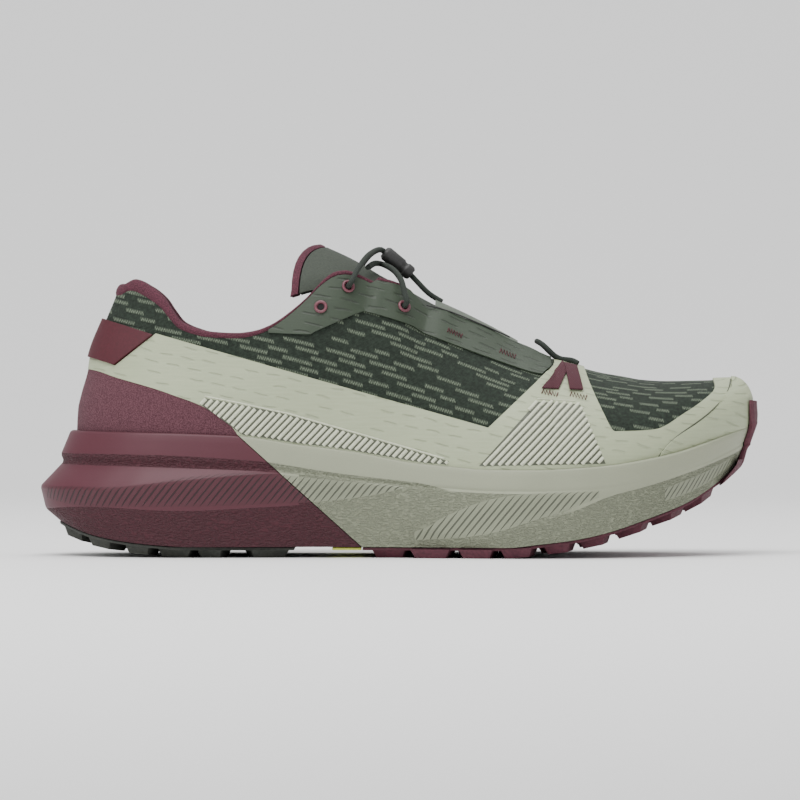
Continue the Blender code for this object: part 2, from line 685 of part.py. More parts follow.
def make_bumper(sheet):
    """Rubber that climbs the toe, joined to the front outsole."""
    def under(side, u):
        x = LENGTH * (LEVELS[0][1] + (0.9562 - LEVELS[0][1]) * share(u))
        mid, half = plan(u, scale_at((0.9, 0.85, 0.9, 0.8), u))
        return Vector((lay(x), mid + side * half, height(BOTTOM, x) - GAP - RUBBER * 0.3))

    rows = [under]
    for k in (0, 1, 2, 4, 5):
        rows.append(lambda side, u, k=k: level_point(LEVELS[k], side, u))
    for v in ROWS[1:6]:
        rows.append(lambda side, u, v=v: off_skin(side, u, v, OVERLAY + 2 * GAP))
    us = [u for u in STATIONS if u > 0.83]
    path = [(-1, u) for u in us] + [(1, u) for u in reversed(us[:-1])]
    grid = []
    for row in rows:
        line = [row(side, u) for side, u in path]
        flat = []
        for i in range(len(line)):
            a, b = line[max(i - 1, 0)], line[min(i + 1, len(line) - 1)]
            flat.append(Vector((b.y - a.y, a.x - b.x, 0)).normalized())
        grid.append((line, flat))
    loops = []
    for i in range(len(path)):
        inner, outer = [], []
        for k, ((line, flat), size) in enumerate(zip(grid, BUMPER)):
            slope = flat[i]
            if k == 0:
                inner.append(line[i])
                outer.append(line[i] - Vector((0, 0, size / 1000)))
            else:
                inner.append(line[i] + slope * GAP * 1.2)
                outer.append(line[i] + slope * (GAP * 1.2 + size / 1000))
        inner[1] -= Vector((0, 0, GAP))
        outer[1] -= Vector((0, 0, 0.0008))
        loops.append(inner + outer[::-1])
    wrap = rings("wrap", loops)
    boolean(wrap, prism("cutter", BUMPER_SIDE), "INTERSECT")
    boolean(sheet, wrap, "UNION")


def make_insole():
    """Footbed with a low rounded edge, inside the upper."""
    us = STATIONS

    def ring(lift, inset):
        def point(side, u):
            z = height(FOOTBED, foot_line(u)) + GAP
            p = wall_place(side, u, z, -(WALL + GAP + inset))
            p.z = z + lift
            return p
        return point

    heights = ((0.0, 0.0009), (INSOLE * 0.7, 0.0003), (INSOLE, 0.0018))
    loops = [both(ring(lift, inset), us) for lift, inset in heights]
    paint(slab("insole", loops, us), (0.05, 0.055, 0.05), 0.9)


def make_upper():
    """Hollow shell with its bottom edge standing in the cup of the sole."""
    rows = [-0.98, -0.5] + ROWS
    paint(shell("upper", -WALL, 0.0, STATIONS, rows), (0.05, 0.065, 0.055), 0.9)


def make_overlay(name, outline, color, roughness, raise_by=0.0, low=-SOLE_WIDTH, high=SOLE_WIDTH):
    """Part of the skin inside a side-view outline, laid just off it."""
    rows = [0.012] + ROWS[1:]
    piece = shell(name, GAP, GAP + OVERLAY + raise_by, STATIONS, rows)
    boolean(piece, prism("cutter", outline, low, high), "INTERSECT")
    return paint(piece, color, roughness)


def make_cuff():
    """Rounded band standing on the wall's edge round the heel, thinner along the ankle."""
    end = station(0.455)
    us = [u for u in STATIONS if u <= end]
    path = [(-1, u) for u in reversed(us)] + [(1, u) for u in us[1:]]
    loops = []
    for side, u in path:
        x, z = edge_at(u)
        top = skin(side, u, 1.0)
        out = skin_normal(side, u, 1.0)
        rise = (skin(side, u, 1.0) - skin(side, u, 0.95)).normalized()
        size = cuff_size(x)
        fade = 0.55 if u == us[-1] else 1.0
        middle = top - out * WALL / 2 + rise * (GAP + size / 2)
        wide = (WALL + 0.0014) / 2 * fade
        loops.append([middle + out * wide * math.cos(a) + rise * size / 2 * fade * math.sin(a)
                      for a in (math.tau * k / 8 for k in range(8))])
    paint(rings("collar_cuff", loops), (0.16, 0.05, 0.075), 0.85)


# tongue: share of LENGTH and of HEIGHT at the middle, how far it tucks in, sideways edges set back
TONGUE = (
    (0.6898, 0.640, 0.20, 0.0), (0.6641, 0.676, 0.16, 0.0), (0.6328, 0.716, 0.14, 0.0),
    (0.5911, 0.765, 0.12, 0.0), (0.5494, 0.810, 0.12, 0.0), (0.5285, 0.836, 0.11, 0.0),
    (0.5076, 0.864, 0.11, 0.0), (0.4729, 0.907, 0.09, -1.0), (0.4451, 0.946, 0.08, -4.0),
    (0.4207, 0.975, 0.07, -8.0), (0.3985, 0.998, 0.05, -12.0),
)


def tongue_section(row, count=6):
    """Points over the top of the tongue from the lateral to the medial side."""
    place, top, tuck, slip = row
    x = LENGTH * place
    u = station_at(x, height(EDGE, x))
    sides = {}
    for side in (-1, 1):
        deep = -(WALL + (4 if place > 0.4868 else 7) * GAP)
        if place > THROAT:
            start = off_skin(side, u, 0.86, deep)
            edge = off_skin(side, u, 0.97, deep)
        else:
            start = off_skin(side, u, 1 - tuck, deep)
            edge = off_skin(side, u, 1.0, deep)
        sides[side] = (start, edge)
    (a, b), (d, c) = sides[-1], sides[1]
    crown = (b + c) / 2
    crown.x = lay(x)
    crown.z = HEIGHT * top
    points = [a, b]
    for k in range(1, count):
        t = k / count
        bow = 1 - (2 * t - 1) ** 2
        p = b.lerp(c, t)
        p.z += (crown.z - (b.z + c.z) / 2) * bow
        p.x += (crown.x - (b.x + c.x) / 2) * bow
        points.append(p)
    points += [c, d]
    for i, p in enumerate(points):
        t = abs(2 * i / (len(points) - 1) - 1)
        p.x += slip / 1000 * (1 - (1 - t) ** 2) * 0.9
    return points


def make_tongue():
    """Padded sheet under the throat, with a bound end."""
    tops = [tongue_section(row) for row in TONGUE]
    loops = []
    for k, top in enumerate(tops):
        ahead = tops[max(k - 1, 0)]
        behind = tops[min(k + 1, len(tops) - 1)]
        under = []
        for i, p in enumerate(top):
            q = top[max(i - 1, 0)]
            r = top[min(i + 1, len(top) - 1)]
            n = (r - q).cross(ahead[i] - behind[i])
            edge = 0.45 if i in (0, len(top) - 1) else 1.0
            thin = 0.55 if k == 0 else 1.0
            under.append(p + n.normalized() * TONGUE_PAD * edge * thin)
        loops.append(top + under[::-1])
    paint(rings("tongue", loops, strips=True), (0.09, 0.10, 0.085), 0.9)
    return loops


def make_trim(loops):
    """Binding in front of the tongue's end face."""
    end, before = loops[-1], loops[-2]
    made = []
    for step, grow in ((0.0, 0.96), (0.35, 1.04), (0.8, 1.02), (1.0, 0.7)):
        ring = []
        count = len(end)
        centre = sum(end, Vector()) / count
        for i, p in enumerate(end):
            back = (p - before[i]).normalized()
            twin = end[count - 1 - i]
            middle = (p + twin) / 2
            ring.append(middle + (p - middle) * grow + back * (2 * GAP + 0.0032 * step))
        made.append(ring)
    paint(rings("tongue_trim", made, strips=True), (0.16, 0.05, 0.075), 0.85)


# eyelets: share of LENGTH, share of HEIGHT
EYELETS = (
    (0.4277, 0.866), (0.3915, 0.801), (0.5042, 0.801),
)


def find(side, x, z):
    """Station and row of the skin nearest to a side-view place."""
    best = None
    for i in range(1, 100):
        u = i / 100
        for j in range(0, 51):
            v = j / 50
            p = skin(side, u, v)
            d = (p.x - lay(x)) ** 2 + (p.z - z) ** 2
            if best is None or d < best[0]:
                best = (d, u, v)
    d, u, v = best
    for size in (0.005, 0.0025, 0.001):
        for du in (-size, 0, size):
            for dv in (-2 * size, 0, 2 * size):
                p = skin(side, u + du, min(1.0, v + dv))
                e = (p.x - lay(x)) ** 2 + (p.z - z) ** 2
                if e < d:
                    d, best = e, (e, u + du, min(1.0, v + dv))
        u, v = best[1], best[2]
    return u, v


def make_eyelet(name, side, x, z):
    """Flanged ring on the film."""
    u, v = find(side, x, z)
    out = skin_normal(side, u, v)
    base = skin(side, u, v) + out * (2 * GAP + OVERLAY + 0.0002)
    a = out.orthogonal().normalized()
    b = out.cross(a)
    hole, rim = EYELET_HOLE / 2, EYELET / 2
    profile = ((hole, 0.0), (rim, 0.0), (rim - 0.0003, 0.0007), (hole + 0.0002, 0.0009))
    loops = []
    for k in range(12):
        t = math.tau * k / 12
        spoke = a * math.cos(t) + b * math.sin(t)
        loops.append([base + spoke * r + out * h for r, h in profile])
    paint(rings(name, loops, closed=True), (0.30, 0.11, 0.14), 0.5)
    return base, out


# feet to tops of a loop's two strips: share of LENGTH, share of HEIGHT, millimetres off the skin
STRIPS = {
    "rear": ((0.7065, 0.540, 2.1), (0.7135, 0.564, 2.1), (0.7208, 0.588, 2.2), (0.7264, 0.606, 2.5)),
    "front": ((0.7437, 0.537, 2.5), (0.7413, 0.564, 2.5), (0.7389, 0.590, 2.6), (0.7368, 0.606, 2.9)),
}


def make_strip(name, side, rows):
    """One flat leg of webbing."""
    places = []
    for place, top, lift in rows:
        u, v = find(side, LENGTH * place, HEIGHT * top)
        out = skin_normal(side, u, v)
        places.append((skin(side, u, v) + out * lift / 1000, out))
    loops = []
    for k, (p, out) in enumerate(places):
        a = places[max(k - 1, 0)][0]
        b = places[min(k + 1, len(places) - 1)][0]
        across = (b - a).normalized().cross(out).normalized() * WEBBING / 2
        thick = out * 0.0005
        loops.append([p - across - thick, p + across - thick, p + across + thick, p - across + thick])
    return rings(name, loops)


def make_webbing(name, side):
    """Two legs of webbing that lean together and hold the front of the lace."""
    loop = make_strip(name, side, STRIPS["rear"])
    boolean(loop, make_strip("front_leg", side, STRIPS["front"]), "UNION")
    paint(loop, (0.16, 0.05, 0.075), 0.85)


def make_garage():
    """Flap on the tongue that takes the ends of the lace."""
    loops = []
    for row in TONGUE[1:5]:
        top = tongue_section(row)[2:-2]
        count = len(top)
        lower = [p + Vector((0, 0, GAP * 2.5)) for p in top]
        upper = []
        for i, p in enumerate(top):
            bow = 1 - (2 * i / (count - 1) - 1) ** 2
            upper.append(p + Vector((0, 0, GAP * 2.5 + 0.0009 + 0.0008 * bow)))
        loops.append(lower + upper[::-1])
    paint(rings("lace_garage", loops, strips=True), (0.17, 0.19, 0.16), 0.8)


# lace routes: share of LENGTH, millimetres out from the middle of the throat, share of HEIGHT
STRAND = (0.4395, 29.0, 0.915), (0.4527, 20.0, 0.962), (0.4645, 9.0, 0.985), (0.475, 1.6, 0.991)
CROSSING = (
    (0.507, 28.5, 0.838), (0.5028, 25.0, 0.886), (0.492, 15.5, 0.922), (0.4771, 3.0, 0.942),
    (0.4645, -8.0, 0.946), (0.4555, -17.0, 0.932),
)
FRONT_LACE = (
    (0.7469, 9.6, 0.622), (0.7413, 8.4, 0.634), (0.7295, 7.4, 0.633), (0.7177, 7.0, 0.640),
    (0.7079, 7.2, 0.662), (0.6996, 5.4, 0.681), (0.6926, 3.0, 0.692), (0.6898, 0.0, 0.694),
)
TAIL = (0.5167, 0.0, 0.905), (0.5278, 0.4, 0.877), (0.5389, 0.6, 0.850), (0.5466, 0.6, 0.838)
LOCK_ENDS = (0.4777, 0.984), (0.5139, 0.914)


def route(rows, side):
    """Points of a lace route on one side of the throat's middle line."""
    made = []
    for place, out, top in rows:
        middle = column(OPENING, 2, station(place)) * SOLE_WIDTH / 2
        made.append(Vector((lay(LENGTH * place), middle + side * out / 1000, HEIGHT * top)))
    return made


def make_lace(eyelets):
    """Cord: two strands to the lock, crossings over the tongue, front bar and tail."""
    color = (0.07, 0.085, 0.07)
    for name, side, key in (("lace_strand_lateral", -1, 1), ("lace_strand_medial", 1, 4)):
        base, out = eyelets[key]
        start = base + out * 0.0022
        paint(as_mesh(tube(name, [start, start + out * 0.002] + route(STRAND, side), LACE)), color, 0.8)
    crossings = []
    for side, key in ((-1, 3), (1, 6)):
        base, out = eyelets[key]
        start = base + out * 0.0022
        path = [start, start + out * 0.002] + route(CROSSING, side)
        crossings.append(as_mesh(tube("lace_crossings", path, LACE)))
    boolean(crossings[0], crossings[1], "UNION")
    crossings[0].name = "lace_crossings"
    paint(crossings[0], color, 0.8)
    front = route(FRONT_LACE, -1) + route(FRONT_LACE, 1)[-2::-1]
    paint(as_mesh(tube("lace_front", front, LACE)), color, 0.8)
    paint(as_mesh(tube("lace_tail", route(TAIL, -1), LACE)), color, 0.8)
    a, b = [Vector((lay(LENGTH * x), 0.0006, HEIGHT * z)) for x, z in LOCK_ENDS]
    make_lock(a, b)


def make_lock(a, b):
    """Cord lock: a short barrel with a groove, lying along the strands."""
    along = (b - a).normalized()
    side = along.orthogonal().normalized()
    other = along.cross(side)
    loops = []
    turned = (
        (0.0, 0.72), (0.08, 1.0), (0.62, 1.0), (0.66, 0.84), (0.74, 0.84), (0.78, 1.0), (0.93, 0.98),
        (1.0, 0.75),
    )
    for t, r in turned:
        middle = a + along * LOCK_LENGTH * t
        loops.append([middle + (side * math.cos(q) + other * math.sin(q)) * LOCK_WIDTH / 2 * r
                      for q in (math.tau * k / 16 for k in range(16))])
    paint(rings("cord_lock", loops), (0.03, 0.03, 0.032), 0.4)


for old in list(bpy.data.objects):
    bpy.data.objects.remove(old)

make_midsole()
make_outsole("outsole_heel", 0.007, 0.3547, (0.07, 0.085, 0.07))
front = make_outsole("outsole_forefoot", 0.4485, 0.9701, (0.13, 0.04, 0.055))
make_bumper(front)
make_outsole("arch_inlay", 0.4068, 0.4471, (0.65, 0.72, 0.10))
make_insole()
make_upper()
make_overlay("heel_counter", COUNTER, (0.19, 0.09, 0.105), 0.9)
make_overlay("heel_strap", STRAP, (0.16, 0.04, 0.06), 0.7, 0.0009)
make_overlay("cage", CAGE, (0.45, 0.46, 0.38), 0.6)
make_overlay("toe_cap", TOE_CAP, (0.42, 0.43, 0.35), 0.6)
split = SOLE_WIDTH * 0.05
make_overlay("eyestay_lateral", EYESTAY, (0.12, 0.14, 0.11), 0.7, high=split)
make_overlay("eyestay_medial", EYESTAY, (0.12, 0.14, 0.11), 0.7, low=split)
make_cuff()
make_trim(make_tongue())
eyelets = {}
for number, (side, (x, z)) in enumerate([(s, p) for s in (-1, 1) for p in EYELETS], 1):
    eyelets[number] = make_eyelet("eyelet_%d" % number, side, LENGTH * x, HEIGHT * z)
for side, word in ((-1, "lateral"), (1, "medial")):
    make_webbing("webbing_" + word, side)
make_garage()
make_lace(eyelets)
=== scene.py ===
"""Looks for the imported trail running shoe: fine surfaces, materials, lacing and studio.

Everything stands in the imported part's frame, in metres. The tables repeat the part's own:
x from the heel tip as a share of LENGTH, z from the ground as a share of HEIGHT, widths as a
share of half the SOLE_WIDTH.
"""

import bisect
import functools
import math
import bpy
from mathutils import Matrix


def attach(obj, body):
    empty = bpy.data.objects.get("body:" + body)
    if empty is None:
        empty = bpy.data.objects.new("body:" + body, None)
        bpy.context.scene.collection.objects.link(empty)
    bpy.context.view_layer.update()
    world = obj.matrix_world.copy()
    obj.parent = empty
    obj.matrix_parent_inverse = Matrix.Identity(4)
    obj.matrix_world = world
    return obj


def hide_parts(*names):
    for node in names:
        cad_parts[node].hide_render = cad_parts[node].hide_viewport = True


bl_info = {
    "name": "Trail Shoe Looks",
    "version": (1, 0, 0),
    "blender": (4, 5, 0),
    "location": "View3D > Sidebar > Trail Shoe",
    "description": "Builds the visible pieces of a trail running shoe round its packed part",
    "category": "Add Mesh",
}

import bmesh
import bpy
import numpy as np
from mathutils import Vector

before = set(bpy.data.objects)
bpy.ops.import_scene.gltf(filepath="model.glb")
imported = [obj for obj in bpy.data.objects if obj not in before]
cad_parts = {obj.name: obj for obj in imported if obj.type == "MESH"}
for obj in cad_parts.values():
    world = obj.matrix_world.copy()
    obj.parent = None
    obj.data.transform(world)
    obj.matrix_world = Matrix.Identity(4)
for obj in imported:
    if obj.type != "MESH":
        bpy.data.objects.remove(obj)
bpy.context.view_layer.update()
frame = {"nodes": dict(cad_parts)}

# the part's own sizes in metres
LENGTH = 0.2876
HEIGHT = 0.1233
SOLE_WIDTH = 0.104
WALL = 0.0020
GAP = 0.0003
OVERLAY = 0.0006
RUBBER = 0.0010
INSOLE = 0.0040
TONGUE_PAD = 0.0045
LACE = 0.0022
EYELET = 0.0053
CUFF = 0.0052

# sizes of the looks in metres
RIB_PITCH = 0.0029
RIB_RADIUS = 0.0008
RIB_EDGE_RADIUS = 0.00035
LINE_RADIUS = 0.0003
TACK_RADIUS = 0.00024
TACK_TEETH = 11
FILM_EDGE = 0.00025
COVER_EDGE = 0.0009
PIPING = 0.0006
STITCH_LIFT = GAP + OVERLAY + 0.0002
THROAT_LIFT = 0.0013

# share of length, lateral half width, medial half width
OUTLINE = (
    (0.00, 0.00, 0.00), (0.05, 0.52, 0.52), (0.10, 0.69, 0.67), (0.15, 0.77, 0.74),
    (0.25, 0.80, 0.75), (0.35, 0.78, 0.69), (0.45, 0.79, 0.655), (0.55, 0.875, 0.73),
    (0.62, 0.95, 0.855), (0.68, 1.00, 0.95), (0.74, 0.99, 1.00), (0.80, 0.915, 0.99),
    (0.86, 0.77, 0.925), (0.92, 0.53, 0.80), (0.96, 0.29, 0.645), (1.00, -0.23, 0.23),
)

# heights of the sole's lines along the shoe: share of LENGTH, share of HEIGHT
BOTTOM = (
    (0.0271, 0.114), (0.073, 0.073), (0.1252, 0.05), (0.1634, 0.041), (0.2086, 0.0349),
    (0.2782, 0.0349), (0.4172, 0.0349), (0.5216, 0.0349), (0.6433, 0.0349), (0.6954, 0.047),
    (0.7371, 0.059), (0.7789, 0.079), (0.8414, 0.126), (0.8971, 0.176), (0.9388, 0.235),
    (0.9701, 0.295),
)
RIDGE = (
    (0.0076, 0.152), (0.0591, 0.162), (0.1982, 0.151), (0.3095, 0.162), (0.3686, 0.17),
    (0.4242, 0.175), (0.4764, 0.162), (0.5216, 0.118), (0.5563, 0.081), (0.605, 0.067),
    (0.6398, 0.079), (0.6885, 0.115), (0.7371, 0.152), (0.7893, 0.2), (0.8345, 0.227),
    (0.8866, 0.263), (0.9318, 0.3), (0.9771, 0.342),
)
CREASE = (
    (0, 0.225), (0.0974, 0.221), (0.1356, 0.23), (0.2086, 0.248), (0.2816, 0.264), (0.3303, 0.271),
    (0.3964, 0.258), (0.4729, 0.235), (0.5529, 0.218), (0.6398, 0.208), (0.7371, 0.211),
    (0.7789, 0.218), (0.8206, 0.235), (0.8623, 0.26), (0.9179, 0.295), (0.9597, 0.334),
    (0.9805, 0.357),
)
GROOVE = (
    (0.0327, 0.305), (0.2086, 0.295), (0.3303, 0.282), (0.3964, 0.266), (0.4729, 0.243),
    (0.5529, 0.225), (0.6398, 0.214), (0.7371, 0.217), (0.7789, 0.225), (0.8206, 0.24),
    (0.8623, 0.264), (0.9179, 0.3), (0.9597, 0.341), (0.9791, 0.362),
)
BAND = (
    (0.0285, 0.328), (0.3164, 0.303), (0.3477, 0.292), (0.3964, 0.273), (0.4729, 0.251),
    (0.5529, 0.232), (0.6398, 0.221), (0.7371, 0.224), (0.7789, 0.231), (0.8206, 0.247),
    (0.8623, 0.271), (0.9179, 0.307), (0.9597, 0.348), (0.9805, 0.367),
)
RIM = (
    (0.0424, 0.406), (0.2782, 0.391), (0.3477, 0.367), (0.4346, 0.341), (0.5216, 0.305),
    (0.5702, 0.294), (0.6189, 0.285), (0.6885, 0.284), (0.7371, 0.289), (0.7893, 0.298),
    (0.838, 0.315), (0.8866, 0.339), (0.9353, 0.376), (0.9666, 0.402), (0.9892, 0.422),
)
FOOTBED = (
    (0.0487, 0.272), (0.1391, 0.262), (0.2782, 0.268), (0.4172, 0.251), (0.5216, 0.219),
    (0.6259, 0.199), (0.7302, 0.199), (0.8345, 0.231), (0.904, 0.28), (0.9458, 0.324),
    (0.984, 0.373),
)

# name, heel end, toe end, width scale at heel, arch, ball and toe, its line
LEVELS = (
    ("bottom", 0.0271, 0.9701, 0.93, 0.86, 0.955, 0.90, BOTTOM),
    ("ridge", 0.0076, 0.9771, 0.975, 0.93, 0.99, 0.96, RIDGE),
    ("crease", 0, 0.9805, 1.00, 0.985, 1.00, 0.985, CREASE),
    ("groove", 0.0327, 0.9791, 0.90, 0.955, 0.985, 0.975, GROOVE),
    ("band", 0.0285, 0.9805, 0.915, 0.965, 0.992, 0.985, BAND),
    ("rim", 0.0424, 0.9892, 0.87, 0.95, 0.98, 0.98, RIM),
)
# width scale of the upper, and the places of the four scale values
UPPER_SCALE = (0.815, 0.90, 0.935, 0.925)
SCALE_AT = (0.15, 0.45, 0.70, 0.95)
# slanted joint of the two foams: share of LENGTH, share of HEIGHT
JOINT = (0.2782, 0.391), (0.4485, 0.032)

# the upper's back and front: share of HEIGHT, share of LENGTH
BACK = (
    (0.243, 0.0542), (0.406, 0.0535), (0.474, 0.0549), (0.519, 0.0591), (0.6, 0.0688),
    (0.641, 0.0716), (0.769, 0.0925), (0.827, 0.1029), (0.86, 0.1078),
)
FRONT = (
    (0.243, 0.9388), (0.324, 0.9614), (0.373, 0.975), (0.422, 0.984), (0.47, 0.9882), (0.5, 0.9882),
    (0.534, 0.984), (0.554, 0.9777), (0.568, 0.9701),
)

# ends of the upper's foot line
HEEL_END = 0.0535
TOE_END = 0.984

# outer edge of the collar and throat, then the ridge in front of it
EDGE = (
    (0.1113, 0.886), (0.1266, 0.9), (0.1478, 0.878), (0.169, 0.838), (0.1801, 0.803),
    (0.194, 0.763), (0.2145, 0.74), (0.233, 0.728), (0.2733, 0.723), (0.2969, 0.73),
    (0.3192, 0.749), (0.347, 0.792), (0.3707, 0.84), (0.3943, 0.895), (0.4138, 0.922),
    (0.4263, 0.925), (0.4374, 0.918), (0.4659, 0.889), (0.5076, 0.863), (0.541, 0.792),
    (0.5529, 0.795), (0.5772, 0.772), (0.6137, 0.74), (0.6502, 0.696), (0.6805, 0.667),
    (0.7024, 0.642), (0.7128, 0.636), (0.751, 0.609), (0.7789, 0.592), (0.8136, 0.578),
    (0.8345, 0.569), (0.8693, 0.564), (0.9214, 0.566), (0.9631, 0.569), (0.9701, 0.567),
    (0.9777, 0.554), (0.984, 0.534),
)
# share of length, half width of the opening, sideways shift of the ridge toward the big toe
OPENING = (
    (0.00, 0.0, 0.0), (0.04, 0.22, 0.0), (0.10, 0.40, 0.0), (0.18, 0.53, 0.0),
    (0.28, 0.58, 0.0), (0.36, 0.52, 0.0), (0.42, 0.43, 0.01), (0.50, 0.335, 0.03),
    (0.58, 0.26, 0.06), (0.66, 0.20, 0.09), (0.693, 0.16, 0.10), (0.705, 0.0, 0.105),
    (0.80, 0.0, 0.14), (0.90, 0.0, 0.18), (1.00, 0.0, 0.23),
)
# share of length, lower handle, upper handle, lean of the wall at the edge in degrees
SECTION = (
    (0.00, 0.40, 0.35, 89), (0.10, 0.42, 0.35, 86), (0.25, 0.42, 0.35, 80), (0.36, 0.42, 0.35, 68),
    (0.45, 0.42, 0.40, 48), (0.56, 0.45, 0.45, 38), (0.68, 0.50, 0.50, 18), (0.72, 0.52, 0.55, 0),
    (0.82, 0.58, 0.60, 0), (0.92, 0.66, 0.62, 0), (0.97, 0.66, 0.55, 15), (1.00, 0.60, 0.45, 60),
)
# share of LENGTH, height of the cuff above the wall
CUFF_HEIGHT = (0.1043, 1.0), (0.153, 0.9), (0.1947, 0.55), (0.2434, 0.42), (0.4659, 0.40)
# front ends of the cuff and of the throat
CUFF_END = 0.4659
THROAT = 0.7128

# side views of the overlays: share of LENGTH, share of HEIGHT
COUNTER = (
    (0, 0.6), (0.0661, 0.6), (0.1106, 0.571), (0.1606, 0.539), (0.1885, 0.516), (0.2274, 0.483),
    (0.2622, 0.431), (0.2799, 0.381), (0.2799, 0.243), (0, 0.243),
)
STRAP = (
    (0, 0.779), (0.0828, 0.769), (0.1599, 0.712), (0.1064, 0.616), (0.0633, 0.647), (0, 0.665),
)
CAGE = (
    (-0.0139, 0.659), (0.0633, 0.642), (0.1078, 0.612), (0.1641, 0.715), (0.621, 0.414),
    (0.7149, 0.618), (0.7149, 0.73), (0.7545, 0.73), (0.7559, 0.59), (0.7837, 0.431),
    (0.7928, 0.402), (0.8414, 0.406), (0.8623, 0.418), (0.8877, 0.454), (0.911, 0.487),
    (0.9336, 0.526), (0.9381, 0.543), (0.9367, 0.649), (0.9611, 0.649), (0.9611, 0.556),
    (0.9548, 0.526), (0.9353, 0.479), (0.9096, 0.431), (0.8748, 0.38), (0.8526, 0.328),
    (0.8345, 0.243), (0.2816, 0.243), (0.2816, 0.383), (0.2636, 0.436), (0.2284, 0.487),
    (0.1892, 0.521), (0.1613, 0.543), (0.1113, 0.576), (0.0668, 0.605), (-0.0139, 0.607),
)
TOE_CAP = (
    (0.8401, 0.243), (0.8567, 0.313), (0.8602, 0.334), (0.8773, 0.375), (0.912, 0.426),
    (0.9378, 0.471), (0.9583, 0.523), (0.9652, 0.558), (0.9652, 0.649), (1.0431, 0.649),
    (1.0431, 0.243),
)
EYESTAY = (
    (0.3192, 0.72), (0.372, 0.715), (0.3825, 0.723), (0.4068, 0.748), (0.444, 0.785),
    (0.4576, 0.785), (0.5042, 0.753), (0.5216, 0.735), (0.532, 0.719), (0.5841, 0.672),
    (0.614, 0.646), (0.6537, 0.613), (0.6815, 0.592), (0.6954, 0.586), (0.7086, 0.613),
    (0.7086, 1.054), (0.3192, 1.054),
)


def lay(x):
    """Place a length measured from the heel tip into the frame."""
    return x - LENGTH / 2


@functools.lru_cache(maxsize=None)
def fit(points):
    """Slopes of a monotone cubic through (place, value) rows."""
    x = [float(row[0]) for row in points]
    y = [float(row[1]) for row in points]
    h = [b - a for a, b in zip(x, x[1:])]
    d = [(b - a) / k for a, b, k in zip(y, y[1:], h)]
    m = [d[0]] + [0.0] * (len(x) - 2) + [d[-1]]
    for i in range(1, len(x) - 1):
        if d[i - 1] * d[i] > 0:
            a, b = 2 * h[i] + h[i - 1], h[i] + 2 * h[i - 1]
            m[i] = (a + b) / (a / d[i - 1] + b / d[i])
    return x, y, h, m


def smooth(points, t):
    """Read the curve through the rows at t."""
    x, y, h, m = fit(tuple(points))
    t = min(max(t, x[0]), x[-1])
    i = min(max(bisect.bisect_right(x, t) - 1, 0), len(h) - 1)
    k = (t - x[i]) / h[i]
    return (
        (1 + 2 * k) * (1 - k) ** 2 * y[i] + k * (1 - k) ** 2 * h[i] * m[i]
        + k * k * (3 - 2 * k) * y[i + 1] + k * k * (k - 1) * h[i] * m[i + 1]
    )


def height(table, x):
    """Height of a side-view line at x, both in metres."""
    return HEIGHT * smooth(table, x / LENGTH)


def reach(table, z):
    """Distance from the heel tip of the upper's back or front at height z."""
    return LENGTH * smooth(table, z / HEIGHT)


def share(u):
    """Stations lie close together at the round ends."""
    return (1 - math.cos(math.pi * u)) / 2


def station(s):
    """Undo share."""
    return math.acos(max(-1.0, min(1.0, 1 - 2 * s))) / math.pi


@functools.lru_cache(maxsize=None)
def placed(table, index):
    """One column of a table against its station."""
    return tuple((station(row[0]), row[index]) for row in table)


def column(table, index, u):
    """Read one column of a table whose rows are placed by share of length."""
    return smooth(placed(table, index), u)


def scale_at(scales, u):
    """Width scale between the heel, arch, ball and toe values."""
    return smooth(tuple(zip(SCALE_AT, scales)), share(u))


def plan(u, scale):
    """Mid-line and half width of the outline at a station."""
    lateral = -column(OUTLINE, 1, u)
    medial = column(OUTLINE, 2, u)
    half = SOLE_WIDTH / 2
    return half * (medial + lateral) / 2, half * (medial - lateral) / 2 * scale


def level_point(level, side, u):
    """A point on one of the sole's closed lines; side is -1 lateral, +1 medial."""
    _, heel, toe, *scales, table = level
    x = LENGTH * (heel + (toe - heel) * share(u))
    mid, half = plan(u, scale_at(scales, u))
    return Vector((lay(x), mid + side * half, height(table, x)))


def foot_line(u):
    """Distance from the heel tip of a station of the upper at the rim of the sole."""
    return LENGTH * (HEEL_END + (TOE_END - HEEL_END) * share(u))


def along(u, z):
    """The same at height z: the heel leans forward and the toe curls back."""
    s = share(u)
    heel, toe = reach(BACK, z) - LENGTH * HEEL_END, reach(FRONT, z) - LENGTH * TOE_END
    return foot_line(u) + heel * (1 - s) + toe * s ** 8


def station_at(x, z):
    """Station of the upper that lies at x and height z."""
    low, high = 0.0, 1.0
    for _ in range(40):
        middle = (low + high) / 2
        if along(middle, z) < x:
            low = middle
        else:
            high = middle
    return low


def wall_place(side, u, z, extra=0.0):
    """A point of the upper's foot line at height z, moved out by extra."""
    mid, half = plan(u, scale_at(UPPER_SCALE, u))
    ends = min(1.0, half / (0.3 * SOLE_WIDTH))
    x = along(u, z) + extra * (2 * share(u) - 1)
    return Vector((lay(x), mid + side * (half + extra * ends), z))


def edge_height(u):
    """Top of the upper's wall at a station, with the cuff taken off behind the throat."""
    z = 0.1
    for _ in range(30):
        x = along(u, z)
        top = height(EDGE, x)
        if x < LENGTH * CUFF_END:
            top -= cuff_size(x) + GAP
        z = 0.5 * z + 0.5 * top
    return x, z


def cuff_size(x):
    """Height of the cuff at x."""
    return CUFF * smooth(CUFF_HEIGHT, x / LENGTH)


EDGES = {}


def edge_at(u):
    """Remember each station's edge."""
    key = round(u, 6)
    if key not in EDGES:
        EDGES[key] = edge_height(u)
    return EDGES[key]


